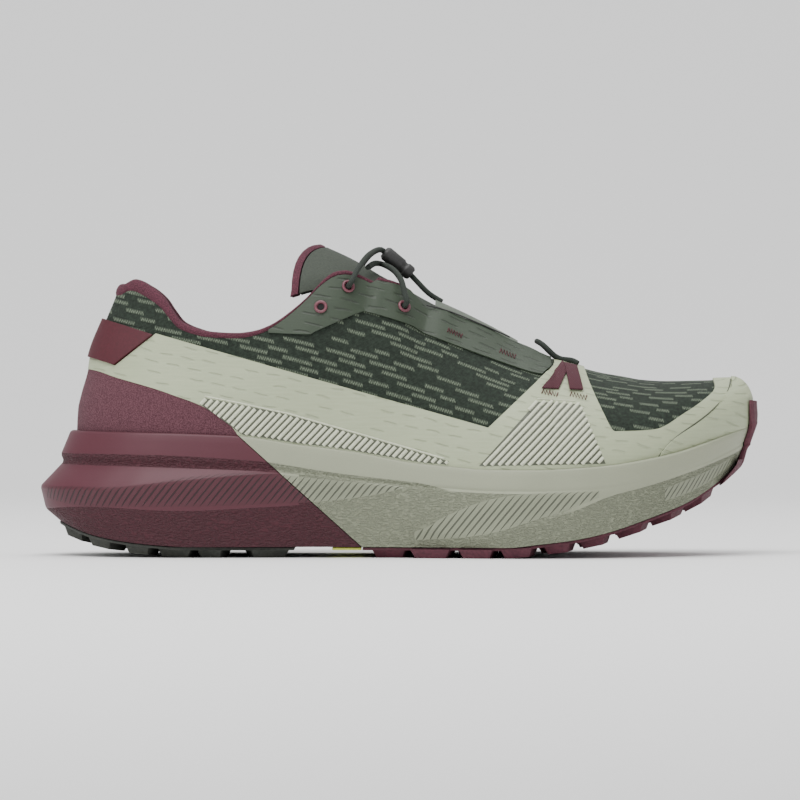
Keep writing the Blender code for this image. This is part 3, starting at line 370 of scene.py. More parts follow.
def skin(side, u, v, out=0.0):
    """Outside of the upper: v runs from the rim of the sole to the edge, below 0 into the sole."""
    z_edge = edge_at(u)[1]
    z_foot = height(RIM, foot_line(u))
    foot = wall_place(side, u, z_foot)
    if v < 0:
        z = z_foot + v * (z_foot - height(FOOTBED, foot_line(u)) - GAP)
        return wall_place(side, u, z, out)
    half = SOLE_WIDTH / 2
    opening = column(OPENING, 1, u) * half if u < THROAT_U else 0.0
    ridge = column(OPENING, 2, u) * half
    low = column(SECTION, 1, u)
    high = column(SECTION, 2, u)
    lean = math.radians(column(SECTION, 3, u))
    rise = z_edge - z_foot
    top_y = ridge + side * min(opening, abs(foot.y - ridge))
    run = abs(foot.y - top_y)
    inward = -side * math.copysign(1.0, side * (foot.y - top_y)) if run else 0.0
    size = low * rise
    b1 = (foot.y, z_foot + size)
    handle = high * (run * math.cos(lean) + rise * math.sin(lean))
    b2 = (top_y - inward * handle * math.cos(lean), z_edge - handle * math.sin(lean))
    w = 1 - v
    y = w ** 3 * foot.y + 3 * w * w * v * b1[0] + 3 * w * v * v * b2[0] + v ** 3 * top_y
    z = w ** 3 * z_foot + 3 * w * w * v * b1[1] + 3 * w * v * v * b2[1] + v ** 3 * z_edge
    return Vector((lay(along(u, z)), y, z))


def skin_normal(side, u, v):
    """Outward direction of the skin."""
    e = 0.004
    u0, u1 = max(0.0, u - e), min(1.0, u + e)
    v0, v1 = (v - 0.02, v) if v > 0.98 else (v, v + 0.02)
    if u in (0.0, 1.0):
        across = skin(1, abs(u - 0.01), v) - skin(-1, abs(u - 0.01), v)
        along = across if u == 0.0 else -across
        along = along * side
    else:
        along = skin(side, u1, v) - skin(side, u0, v)
    up = skin(side, u, v1) - skin(side, u, v0)
    n = along.cross(up) * -side
    return n.normalized()


def off_skin(side, u, v, out):
    """A point at a distance from the skin."""
    return skin(side, u, v) + skin_normal(side, u, v) * out


def stations(count, *marks):
    """Even stations with the nearest ones moved onto marked distances from the heel."""
    us = [i / (count - 1) for i in range(count)]
    for mark in marks:
        i = min(range(1, count - 1), key=lambda k: abs(us[k] - mark))
        us[i] = mark
    return us


THROAT_U = station_at(LENGTH * THROAT, HEIGHT * 0.63)

# tongue: share of LENGTH and of HEIGHT at the middle, how far it tucks in, sideways edges set back
TONGUE = (
    (0.6898, 0.640, 0.20, 0.0), (0.6641, 0.676, 0.16, 0.0), (0.6328, 0.716, 0.14, 0.0),
    (0.5911, 0.765, 0.12, 0.0), (0.5494, 0.810, 0.12, 0.0), (0.5285, 0.836, 0.11, 0.0),
    (0.5076, 0.864, 0.11, 0.0), (0.4729, 0.907, 0.09, -1.0), (0.4451, 0.946, 0.08, -4.0),
    (0.4207, 0.975, 0.07, -8.0), (0.3985, 0.998, 0.05, -12.0),
)


def tongue_section(row, count=6):
    """Points over the top of the tongue from the lateral to the medial side."""
    place, top, tuck, slip = row
    x = LENGTH * place
    u = station_at(x, height(EDGE, x))
    sides = {}
    for side in (-1, 1):
        deep = -(WALL + (4 if place > 0.4868 else 7) * GAP)
        if place > THROAT:
            start = off_skin(side, u, 0.86, deep)
            edge = off_skin(side, u, 0.97, deep)
        else:
            start = off_skin(side, u, 1 - tuck, deep)
            edge = off_skin(side, u, 1.0, deep)
        sides[side] = (start, edge)
    (a, b), (d, c) = sides[-1], sides[1]
    crown = (b + c) / 2
    crown.x = lay(x)
    crown.z = HEIGHT * top
    points = [a, b]
    for k in range(1, count):
        t = k / count
        bow = 1 - (2 * t - 1) ** 2
        p = b.lerp(c, t)
        p.z += (crown.z - (b.z + c.z) / 2) * bow
        p.x += (crown.x - (b.x + c.x) / 2) * bow
        points.append(p)
    points += [c, d]
    for i, p in enumerate(points):
        t = abs(2 * i / (len(points) - 1) - 1)
        p.x += slip / 1000 * (1 - (1 - t) ** 2) * 0.9
    return points


# eyelets: share of LENGTH, share of HEIGHT
EYELETS = (0.4277, 0.866), (0.3915, 0.801), (0.5042, 0.801)


# lace routes: share of LENGTH, millimetres out from the middle of the throat, share of HEIGHT
STRAND = (0.4395, 29.0, 0.915), (0.4527, 20.0, 0.962), (0.4645, 9.0, 0.985), (0.475, 1.6, 0.991)
CROSSING = (
    (0.507, 28.5, 0.838), (0.5028, 25.0, 0.886), (0.492, 15.5, 0.922), (0.4771, 3.0, 0.942),
    (0.4645, -8.0, 0.946), (0.4555, -17.0, 0.932),
)
FRONT_LACE = (
    (0.7469, 9.6, 0.622), (0.7413, 8.4, 0.634), (0.7295, 7.4, 0.633), (0.7177, 7.0, 0.640),
    (0.7079, 7.2, 0.662), (0.6996, 5.4, 0.681), (0.6926, 3.0, 0.692), (0.6898, 0.0, 0.694),
)
TAIL = (0.5167, 0.0, 0.905), (0.5278, 0.4, 0.877), (0.5389, 0.6, 0.850), (0.5466, 0.6, 0.838)


# Fine surface of the upper
# places where the throat's line bends: share of LENGTH, height in metres
KNEES = (0.6919, 0.080), (0.7038, 0.079), (0.541, 0.098), (0.5494, 0.098), (0.5076, 0.106)
# stations and rows of the fine surface
SKIN_STATIONS = 150
SKIN_ROWS = 44
# rows of the surface inside the sole, in the terms of skin
SUNK_ROWS = [-0.98, -0.6, -0.3, -0.1, 0.0]


class Surface:
    """Grid over the upper: a closed ring of stations by rows from inside the sole to the edge."""

    def __init__(self, count, rows):
        us = stations(count, THROAT_U, *(station_at(LENGTH * x, z) for x, z in KNEES))
        self.vs = np.array(SUNK_ROWS + [(k + 1) / rows for k in range(rows)])
        self.first = len(SUNK_ROWS) - 1
        self.us = us
        self.ring = [(-1, u) for u in reversed(us)] + [(1, u) for u in us[1:-1]]
        self.points = np.array([[tuple(skin(side, u, v)) for v in self.vs] for side, u in self.ring])
        k = np.roll(self.points, -1, 0) - np.roll(self.points, 1, 0)
        j = np.gradient(self.points, axis=1)
        normal = np.cross(k, j)
        normal /= np.maximum(np.linalg.norm(normal, axis=2, keepdims=True), 1e-12)
        if normal[len(us) // 2, 20, 1] > 0:
            normal = -normal
        n = len(us)
        count = len(self.ring)
        for i in range(1, n - 1):
            if us[n - 1 - i] >= THROAT_U:
                twin = count - i
                mean = normal[i, -1] + normal[twin, -1]
                normal[i, -1] = normal[twin, -1] = mean / np.linalg.norm(mean)
        self.normals = normal
        steps = np.linalg.norm(np.diff(self.points, axis=1), axis=2)
        girth = np.concatenate([np.zeros((count, 1)), np.cumsum(steps, axis=1)], axis=1)
        foot = slice(self.first, self.first + 1)
        self.cloth = girth - girth[:, foot] + self.points[:, foot, 2]
        self.half = {-1: np.arange(0, n), 1: np.array([0] + list(range(count - 1, n - 2, -1)))}

    def lifted(self, lift):
        """All points moved out by lift."""
        return self.points + self.normals * lift

    def nearest(self, side, x, z, lift=0.0):
        """Point and normal of the surface at a side-view place."""
        rows = self.half[side]
        points = self.points[rows][:, self.first:]
        normals = self.normals[rows][:, self.first:]
        d = (points[:, :, 0] - x) ** 2 + (points[:, :, 2] - z) ** 2
        a, b = np.unravel_index(np.argmin(d), d.shape)
        a = min(max(a, 1), points.shape[0] - 2)
        b = min(max(b, 1), points.shape[1] - 2)
        p = points[a, b]
        ta = (points[a + 1, b] - points[a - 1, b]) / 2
        tb = (points[a, b + 1] - points[a, b - 1]) / 2
        det = ta[0] * tb[2] - ta[2] * tb[0]
        if abs(det) > 1e-12:
            dx, dz = x - p[0], z - p[2]
            s = max(-1.5, min(1.5, (dx * tb[2] - dz * tb[0]) / det))
            t = max(-1.5, min(1.5, (ta[0] * dz - ta[2] * dx) / det))
            p = p + ta * s + tb * t
        n = normals[a, b]
        return Vector(p + n * lift), Vector(n)


FINE = Surface(SKIN_STATIONS, SKIN_ROWS)


def on_skin(side, x, z, lift):
    """Point over the upper at a side-view place in shares."""
    return FINE.nearest(side, lay(LENGTH * x), HEIGHT * z, lift)[0]


# Mesh helpers
def add_object(name, data):
    """New object in the scene."""
    obj = bpy.data.objects.new(name, data)
    bpy.context.scene.collection.objects.link(obj)
    return obj


def make_object(name, points, faces, smooth_angle=40, cloth=None, values=None):
    """Mesh object with its faces turned out; cloth is a value pair for each point."""
    mesh = bpy.data.meshes.new(name)
    mesh.from_pydata([tuple(p) for p in points], [], faces)
    if cloth is not None:
        layer = mesh.uv_layers.new(name="cloth")
        index = np.empty(len(mesh.loops), dtype=np.int32)
        mesh.loops.foreach_get("vertex_index", index)
        layer.data.foreach_set("uv", np.asarray(cloth, dtype=np.float32)[index].ravel())
    for key, row in (values or {}).items():
        mesh.attributes.new(key, "FLOAT", "POINT").data.foreach_set("value", row)
    bm = bmesh.new()
    bm.from_mesh(mesh)
    bmesh.ops.remove_doubles(bm, verts=bm.verts, dist=1e-6)
    bmesh.ops.dissolve_degenerate(bm, edges=bm.edges, dist=1e-7)
    bmesh.ops.recalc_face_normals(bm, faces=bm.faces)
    bm.to_mesh(mesh)
    bm.free()
    obj = add_object(name, mesh)
    shade(obj, smooth_angle)
    return obj


def shade(obj, angle):
    """Smooth shading with sharp edges over an angle."""
    obj.data.shade_smooth()
    obj.data.set_sharp_from_angle(angle=math.radians(angle))


def apply(obj):
    """Bake an object's modifiers into a plain mesh."""
    graph = bpy.context.evaluated_depsgraph_get()
    mesh = bpy.data.meshes.new_from_object(obj.evaluated_get(graph))
    obj.modifiers.clear()
    obj.data = mesh
    return obj


def bevel(obj, width, segments=2, angle=40):
    """Round the sharp edges."""
    modifier = obj.modifiers.new("Bevel", "BEVEL")
    modifier.width = width
    modifier.segments = segments
    modifier.limit_method = "ANGLE"
    modifier.angle_limit = math.radians(angle)
    return apply(obj)


def sheet_faces(rows, columns, closed):
    """Quads of a grid stored row after row."""
    faces = []
    for i in range(rows if closed else rows - 1):
        a, b = i * columns, (i + 1) % rows * columns
        for j in range(columns - 1):
            faces.append((a + j, b + j, b + j + 1, a + j + 1))
    return faces


def stack_faces(rows, n):
    """Faces of a closed stack of plan rings, each n lateral then n medial points."""
    faces = []
    for k in range(rows - 1):
        for side in (0, 1):
            a, b = (2 * k + side) * n, (2 * k + 2 + side) * n
            faces += [(a + i, a + i + 1, b + i + 1, b + i) for i in range(n - 1)]
    for k in (0, rows - 1):
        a = 2 * k * n
        faces += [(a + i, a + n + i, a + n + i + 1, a + i + 1) for i in range(n - 1)]
    return faces


def cut_away(bm, place, normal):
    """Cut by a plane, drop what lies past it and give the edges of the cut."""
    done = bmesh.ops.bisect_plane(bm, geom=bm.verts[:] + bm.edges[:] + bm.faces[:], plane_co=place,
                                  plane_no=normal, clear_outer=True, dist=1e-7)
    return [e for e in done["geom_cut"] if isinstance(e, bmesh.types.BMEdge)]


def between(p0, p1, p2, p3, t):
    """Smooth curve through four values, t of the way from the second to the third."""
    return 0.5 * (2 * p1 + (p2 - p0) * t + (2 * p0 - 5 * p1 + 4 * p2 - p3) * t * t
                  + (3 * p1 - p0 - 3 * p2 + p3) * t ** 3)


def curve_through(points, parts=4, step=None):
    """Points along a smooth curve, parts to each stretch or about step apart."""
    made = []
    for i in range(len(points) - 1):
        p0, p1, p2 = points[max(i - 1, 0)], points[i], points[i + 1]
        p3 = points[min(i + 2, len(points) - 1)]
        count = max(2, round((p2 - p1).length / step)) if step else parts
        made += [between(p0, p1, p2, p3, k / count) for k in range(count)]
    return made + [points[-1]]


def rings_object(name, loops, strips=False, closed=False, angle=40, cloth=None):
    """Skin closed loops of equal length."""
    count = len(loops[0])
    points = [p for loop in loops for p in loop]
    faces = []
    last = len(loops) if closed else len(loops) - 1
    for k in range(last):
        a, b = k * count, (k + 1) % len(loops) * count
        for i in range(count):
            j = (i + 1) % count
            faces.append((a + i, a + j, b + j, b + i))
    if strips:
        for a in (0, (len(loops) - 1) * count):
            for i in range(count // 2 - 1):
                faces.append((a + i, a + i + 1, a + count - 2 - i, a + count - 1 - i))
    elif not closed:
        faces.append(tuple(reversed(range(count))))
        faces.append(tuple(range((len(loops) - 1) * count, len(loops) * count)))
    return make_object(name, points, faces, angle, cloth)


def side_polygon(outline):
    """Side-view corners in metres, in the frame."""
    return [(lay(LENGTH * a), HEIGHT * b) for a, b in outline]


def soften(outline, limit=26, step=0.0016):
    """Round an outline where it only bends a little and keep its true corners."""
    n = len(outline)
    corners = set()
    for i in range(n):
        (ax, az), (bx, bz), (cx, cz) = outline[i - 1], outline[i], outline[(i + 1) % n]
        turn = math.atan2(cz - bz, cx - bx) - math.atan2(bz - az, bx - ax)
        if abs(math.degrees(math.atan2(math.sin(turn), math.cos(turn)))) > limit:
            corners.add(i)
    made = []
    for i in range(n):
        p1, p2 = outline[i], outline[(i + 1) % n]
        if i in corners and (i + 1) % n in corners:
            made.append(p1)
            continue
        p0 = p1 if i in corners else outline[i - 1]
        p3 = p2 if (i + 1) % n in corners else outline[(i + 2) % n]
        parts = max(1, min(14, round(math.dist(p1, p2) / step)))
        for k in range(parts):
            made.append(tuple(between(*four, k / parts) for four in zip(p0, p1, p2, p3)))
    return made


def grow(outline, size):
    """Move an outline outwards by a distance."""
    n = len(outline)
    area = sum(a[0] * b[1] - b[0] * a[1] for a, b in zip(outline, outline[1:] + outline[:1]))
    turn = 1 if area > 0 else -1
    made = []
    for i in range(n):
        (ax, az), (bx, bz), (cx, cz) = outline[i - 1], outline[i], outline[(i + 1) % n]
        d, e = Vector((bx - ax, bz - az)), Vector((cx - bx, cz - bz))
        if d.length < 1e-9 or e.length < 1e-9:
            made.append((bx, bz))
            continue
        d.normalize()
        e.normalize()
        m = Vector((d.y + e.y, -d.x - e.x)) * turn
        if m.length < 1e-6:
            made.append((bx, bz))
            continue
        m.normalize()
        reach_out = size / max(0.5, m.dot(Vector((d.y, -d.x)) * turn))
        made.append((bx + m.x * reach_out, bz + m.y * reach_out))
    return made


def inside(polygon, x, z):
    """Even and odd rule."""
    hit = False
    for (ax, az), (bx, bz) in zip(polygon, polygon[1:] + polygon[:1]):
        if (az > z) != (bz > z) and x < (bx - ax) * (z - az) / (bz - az) + ax:
            hit = not hit
    return hit


# share of the first row by which a panel's foot is raised, and how far round it the grid is kept
FOOT_RISE = 0.008
NEAR = 0.004


def trim_to(bm, polygon):
    """Cut a bmesh along a side-view outline and drop what lies outside."""
    margin = 0.0004
    for (ax, az), (bx, bz) in zip(polygon, polygon[1:] + polygon[:1]):
        length = math.hypot(bx - ax, bz - az)
        if length < 1e-6:
            continue
        lo_x, hi_x = min(ax, bx) - margin, max(ax, bx) + margin
        lo_z, hi_z = min(az, bz) - margin, max(az, bz) + margin
        chosen = []
        for f in bm.faces:
            fx = [v.co.x for v in f.verts]
            fz = [v.co.z for v in f.verts]
            if max(fx) > lo_x and min(fx) < hi_x and max(fz) > lo_z and min(fz) < hi_z:
                chosen.append(f)
        if not chosen:
            continue
        geom = set(chosen)
        for f in chosen:
            geom.update(f.edges)
            geom.update(f.verts)
        bmesh.ops.bisect_plane(bm, geom=list(geom), plane_co=(ax, 0, az),
                               plane_no=(-(bz - az) / length, 0, (bx - ax) / length), dist=1e-6)
    gone = []
    for f in bm.faces:
        c = f.calc_center_median()
        if not inside(polygon, c.x, c.z):
            gone.append(f)
    bmesh.ops.delete(bm, geom=gone, context="FACES")


def panel(name, polygon, lift, thick, sides=(-1, 1), edge=0.0):
    """Overlay cut from the fine surface along a side-view outline, its foot at the sole's rim."""
    grid = FINE.lifted(lift)
    first = FINE.first
    points = grid[:, first:].copy()
    points[:, 0] = grid[:, first] * (1 - FOOT_RISE) + points[:, 1] * FOOT_RISE
    count, columns = points.shape[:2]
    flat = points.reshape(-1, 3)
    xs, zs = zip(*polygon)
    near = (flat[:, 0] > min(xs) - NEAR) & (flat[:, 0] < max(xs) + NEAR)
    near &= (flat[:, 2] > min(zs) - NEAR) & (flat[:, 2] < max(zs) + NEAR)
    keep = [f for f in sheet_faces(count, columns, True)
            if FINE.ring[f[0] // columns][0] in sides and all(near[v] for v in f)]
    if not keep:
        raise ValueError("the outline of %s lies off the upper" % name)
    uv = np.stack([flat[:, 0], FINE.cloth[:, first:].reshape(-1)], axis=1)
    obj = make_object(name, flat, keep, 40, uv)
    bm = bmesh.new()
    bm.from_mesh(obj.data)
    bmesh.ops.delete(bm, geom=[v for v in bm.verts if not v.link_faces], context="VERTS")
    trim_to(bm, polygon)
    bmesh.ops.remove_doubles(bm, verts=bm.verts, dist=3e-6)
    bmesh.ops.recalc_face_normals(bm, faces=bm.faces)
    low = min(bm.faces, key=lambda f: f.calc_center_median().y)
    if low.normal.y > 0:
        bmesh.ops.reverse_faces(bm, faces=bm.faces)
    bm.to_mesh(obj.data)
    bm.free()
    modifier = obj.modifiers.new("Thickness", "SOLIDIFY")
    modifier.thickness = thick
    modifier.offset = 1
    apply(obj)
    if edge:
        bevel(obj, edge, 2, 60)
    shade(obj, 45)
    return obj


# Raised and sunk lines
LINE_NODES = {
    "start": "NodeGroupInput", "end": "NodeGroupOutput", "curve": "GeometryNodeMeshToCurve",
    "circle": "GeometryNodeCurvePrimitiveCircle", "sweep": "GeometryNodeCurveToMesh",
    "real": "GeometryNodeRealizeInstances", "paint": "GeometryNodeSetMaterial",
}
LINE_LINKS = (
    ("start", "Geometry", "curve", "Mesh"), ("start", "Radius", "circle", "Radius"),
    ("start", "Sides", "circle", "Resolution"), ("curve", "Curve", "sweep", "Curve"),
    ("circle", "Curve", "sweep", "Profile Curve"), ("sweep", "Mesh", "real", "Geometry"),
    ("real", "Geometry", "paint", "Geometry"), ("start", "Material", "paint", "Material"),
    ("paint", "Geometry", "end", "Geometry"),
)


def line_tree():
    """Geometry Nodes: thick lines along drawn paths."""
    tree = bpy.data.node_groups.get("Lines along paths")
    if tree:
        return tree
    tree = bpy.data.node_groups.new("Lines along paths", "GeometryNodeTree")
    face = tree.interface
    face.new_socket("Geometry", in_out="INPUT", socket_type="NodeSocketGeometry")
    radius = face.new_socket("Radius", in_out="INPUT", socket_type="NodeSocketFloat")
    radius.default_value = LINE_RADIUS
    sides = face.new_socket("Sides", in_out="INPUT", socket_type="NodeSocketInt")
    sides.default_value = 6
    face.new_socket("Material", in_out="INPUT", socket_type="NodeSocketMaterial")
    face.new_socket("Geometry", in_out="OUTPUT", socket_type="NodeSocketGeometry")
    nodes = {word: tree.nodes.new(kind) for word, kind in LINE_NODES.items()}
    nodes["sweep"].inputs["Fill Caps"].default_value = True
    for source, out, target, into in LINE_LINKS:
        tree.links.new(nodes[source].outputs[out], nodes[target].inputs[into])
    return tree


def lines(name, paths, radius, material, sides=6):
    """One mesh of thick lines made by the tree from a list of paths."""
    points, edges = [], []
    for path in paths:
        a = len(points)
        points += [tuple(p) for p in path]
        edges += [(a + i, a + i + 1) for i in range(len(path) - 1)]
    mesh = bpy.data.meshes.new(name)
    mesh.from_pydata(points, edges, [])
    obj = add_object(name, mesh)
    tree = line_tree()
    modifier = obj.modifiers.new("Lines", "NODES")
    modifier.node_group = tree
    keys = {item.name: item.identifier for item in tree.interface.items_tree if item.in_out == "INPUT"}
    modifier[keys["Radius"]] = radius
    modifier[keys["Sides"]] = sides
    modifier[keys["Material"]] = material
    apply(obj)
    shade(obj, 60)
    return obj


# Materials
# slot fields: lower line, upper line, first and last share of LENGTH, lean, pitch in metres
SLOT_FIELDS = (
    (
        ((0, 0.191), (0.0083, 0.188), (0.0546, 0.167), (0.1231, 0.164), (0.2608, 0.167),
         (0.3338, 0.174), (0.3999, 0.182), (0.4729, 0.206), (0.5076, 0.227)),
        ((0, 0.221), (0.0083, 0.224), (0.1328, 0.232), (0.2246, 0.264), (0.3074, 0.273),
         (0.3616, 0.261), (0.4346, 0.245), (0.5076, 0.234)),
        0.0104, 0.5042, 0.94, 0.0029,
    ),
    (
        ((0.4868, 0.057), (0.5229, 0.058), (0.6099, 0.075), (0.6836, 0.123), (0.7371, 0.164),
         (0.7754, 0.198), (0.7997, 0.217)),
        ((0.4868, 0.065), (0.5278, 0.092), (0.5668, 0.141), (0.6377, 0.198), (0.6954, 0.211),
         (0.7754, 0.216), (0.7997, 0.219)),
        0.5198, 0.7719, 0.85, 0.0029,
    ),
    (
        ((0.8345, 0.154), (0.863, 0.18), (0.9051, 0.214), (0.9607, 0.295), (0.9736, 0.324)),
        ((0.8345, 0.195), (0.863, 0.222), (0.904, 0.256), (0.9409, 0.294), (0.9618, 0.318),
         (0.9736, 0.333)),
        0.8637, 0.9611, 0.75, 0.0025,
    ),
)
# where the grain above the crease starts and fades out, and where the grained groove does
GRAIN_START = 0.3616
GRAIN_FADE = (0.6954, 0.7545)
GROOVE_FADE = (0.5146, 0.6328)


def add_node(tree, kind, inputs=(), **settings):
    """New shader node with its settings, each input linked or set."""
    node = tree.nodes.new("ShaderNode" + kind)
    for name, value in settings.items():
        setattr(node, name, value)
    for key, value in dict(inputs).items():
        value = getattr(value, "socket", value)
        if isinstance(value, bpy.types.NodeSocket):
            tree.links.new(value, node.inputs[key])
        else:
            node.inputs[key].default_value = value
    return node


def math_step(op, swap=False):
    """Method that joins a value with another, or with none, by one kind of arithmetic."""
    def method(self, other=None):
        return self._join(op, other, swap)
    return method


class Sum:
    """A value in a shader tree that arithmetic can be written on."""

    def __init__(self, tree, socket):
        self.tree = tree
        self.socket = socket

    def _join(self, op, other, swap=False):
        pair = enumerate((other, self) if swap else (self, other))
        inputs = {i: value for i, value in pair if value is not None}
        node = add_node(self.tree, "Math", inputs, operation=op)
        return Sum(self.tree, node.outputs[0])

    __add__ = __radd__ = math_step("ADD")
    __sub__ = math_step("SUBTRACT")
    __rsub__ = math_step("SUBTRACT", True)
    __mul__ = __rmul__ = math_step("MULTIPLY")
    __truediv__ = math_step("DIVIDE")
    floor = math_step("FLOOR")
    fract = math_step("FRACT")
    abs = math_step("ABSOLUTE")
    less = math_step("LESS_THAN")
    more = math_step("GREATER_THAN")
    power = math_step("POWER")

    def cap(self, low=0.0, high=1.0):
        """Value held between two limits."""
        return self._join("MAXIMUM", low)._join("MINIMUM", high)

    def more_than(self, low, high):
        """1 between two values."""
        return self.more(low) * self.less(high)

    def ramp(self, low, high):
        """0 below low, 1 above high, soft between."""
        inputs = {"From Min": low, "From Max": high, "Value": self}
        node = add_node(self.tree, "MapRange", inputs, interpolation_type="SMOOTHSTEP")
        return Sum(self.tree, node.outputs["Result"])


class Paint:
    """Builds one procedural material."""

    def __init__(self, name, color, roughness):
        self.material = bpy.data.materials.new(name)
        self.material.use_nodes = True
        self.tree = self.material.node_tree
        self.shader = self.tree.nodes["Principled BSDF"]
        self.shader.inputs["Base Color"].default_value = (*color, 1)
        self.shader.inputs["Roughness"].default_value = roughness

    def _new(self, kind, inputs=(), **settings):
        return add_node(self.tree, kind, inputs, **settings)

    def axes(self, uv=None):
        """x, y and z of the piece, or across and up of its cloth map."""
        if uv:
            socket = self._new("UVMap", uv_map=uv).outputs["UV"]
        else:
            socket = self._new("TexCoord").outputs["Object"]
        return [Sum(self.tree, out) for out in self._new("SeparateXYZ", {0: socket}).outputs]

    def vector_of(self, x, y, z=0.0):
        """Three values as one vector."""
        return self._new("CombineXYZ", {0: x, 1: y, 2: z}).outputs[0]

    def noise(self, scale, detail=3.0, rough=0.5, vector=None):
        """Cloudy value from 0 to 1."""
        if vector is None:
            vector = self._new("TexCoord").outputs["Object"]
        inputs = {"Scale": scale, "Detail": detail, "Roughness": rough, "Vector": vector}
        return Sum(self.tree, self._new("TexNoise", inputs).outputs["Fac"])

    def chance(self, x, y):
        """A fixed number from 0 to 1 for each whole pair."""
        node = self._new("TexWhiteNoise", {"Vector": self.vector_of(x, y)}, noise_dimensions="2D")
        return Sum(self.tree, node.outputs["Value"])

    def mix(self, amount, first, second):
        """Colour between two, each a colour or a socket."""
        first, second = ((*c, 1) if isinstance(c, tuple) else c for c in (first, second))
        return self._new("Mix", {"Factor": amount, 6: first, 7: second}, data_type="RGBA").outputs[2]

    def attribute(self, name):
        """A value stored on the mesh."""
        return Sum(self.tree, self._new("Attribute", attribute_name=name).outputs["Fac"])

    def curve(self, place, table):
        """Height of a line of the sole over a place, both as shares."""
        node = self._new("FloatCurve", {"Value": place})
        line = node.mapping.curves[0]
        rows = [(x, z) for x, z in table if 0.0 <= x <= 1.0]
        while len(line.points) < len(rows):
            line.points.new(0.5, 0.5)
        for point, (x, z) in zip(line.points, rows):
            point.location = (x, z)
        node.mapping.extend = "HORIZONTAL"
        node.mapping.update()
        return Sum(self.tree, node.outputs["Value"])

    def tint(self, socket):
        """Set the base colour."""
        self.tree.links.new(socket, self.shader.inputs["Base Color"])

    def gloss(self, amount):
        """Set the roughness."""
        self.tree.links.new(amount.socket, self.shader.inputs["Roughness"])

    def bump(self, amount, distance, strength=1.0):
        """Add relief on top of what is there."""
        node = self._new("Bump", {"Strength": strength, "Distance": distance, "Height": amount})
        normal = self.shader.inputs["Normal"]
        if normal.links:
            self.tree.links.new(normal.links[0].from_socket, node.inputs["Normal"])
        self.tree.links.new(node.outputs["Normal"], normal)


def lin(r, g, b):
    """Screen colour from 0 to 255 to linear light."""
    return tuple((c / 255 / 12.92) if c <= 10 else ((c / 255 + 0.055) / 1.055) ** 2.4 for c in (r, g, b))


def knit_material():
    """Knit in rows with pale zigzag dashes, and its plain lining."""
    p = Paint("knit", lin(31, 41, 31), 0.95)
    x, y = p.axes("cloth")[:2]
    slope = x * 0.30 - (x - 0.01).power(3.0) * 2.2
    row = (y + slope) / 0.0026
    index = row.floor()
    across = row.fract() - 0.5
    cell = x / 0.0170 + index * 0.381 + p.chance(index, 3.0) * 0.22
    number = cell.floor()
    place = cell.fract()
    long = p.chance(number, index) * 0.46 + 0.30
    there = p.chance(number, index + 40.0).less(0.92)
    dash = place.less(long) * there
    swing = (((x / 0.00095 + index * 0.37).fract() - 0.5).abs() - 0.25) * 0.86
    thread = 1.0 - (across - swing).abs().ramp(0.09, 0.20)
    band = 1.0 - across.abs().ramp(0.32, 0.42)
    mark = dash * (thread * 0.8 + band * 0.2)
    fine = ((y + slope) / 0.00065).fract() - 0.5
    stitch = ((x / 0.0007 + (row * 4.0).floor() * 0.5).fract() - 0.5).abs()
    grit = p.noise(1600, 2, 0.6)
    rows = p.noise(30, 2, 0.5, p.vector_of(x, row * 3.0))
    loops = p.noise(850, 2, 0.6)
    ground = (fine.abs() * 0.6 + stitch * 0.4 + grit * 0.4 + rows * 0.4 + loops * 1.5 - 1.15).cap()
    base = p.mix(ground, lin(14, 23, 14), lin(47, 60, 48))
    pale = p.mix(grit.ramp(0.3, 0.65), lin(74, 83, 69), lin(109, 120, 102))
    cloth = p.mix(mark, base, pale)
    lining = p.mix(grit.ramp(0.3, 0.7), lin(27, 35, 29), lin(45, 56, 47))
    p.tint(p.mix(p.attribute("inner"), cloth, lining))
    p.bump(fine.abs() * -0.5 + dash * band * 0.6 + mark * 0.8 + grit * 0.4, 0.0004, 0.8)
    return p.material


def film_material(name, color, dark, length=0.0085, gap=0.0042, depth=0.3, lean=0.22):
    """Film with short wavy strokes pressed in it."""
    p = Paint(name, color, 0.6)
    x, y = p.axes("cloth")[:2]
    fine = p.noise(1400, 2, 0.6)
    brush = p.noise(400, 2, 0.6, p.vector_of(x * 0.25, y * 3.0))
    wave = p.noise(120, 1, 0.5, p.vector_of(x, y))
    row = (y + x * lean) / gap + (wave - 0.5) * 0.55
    index = row.floor()
    cell = x / length + p.chance(index, 1.0) * 5.0
    number = cell.floor()
    there = p.chance(number, index + 9.0).less(0.78)
    across = (row.fract() - 0.5).abs()
    taper = ((cell.fract() - 0.4).abs() * 2.6).cap()
    mark = (1.0 - across.ramp(0.03, 0.16)) * there * (1.0 - taper.ramp(0.5, 1.0))
    p.tint(p.mix((mark * depth + brush * 0.55 + fine * 0.15 - 0.24).cap(), color, dark))
    p.bump(0.0 - mark, 0.0004, 0.7)
    p.bump(brush + fine * 0.3, 0.00015, 0.35)
    p.gloss(fine * 0.15 + 0.48)
    return p.material


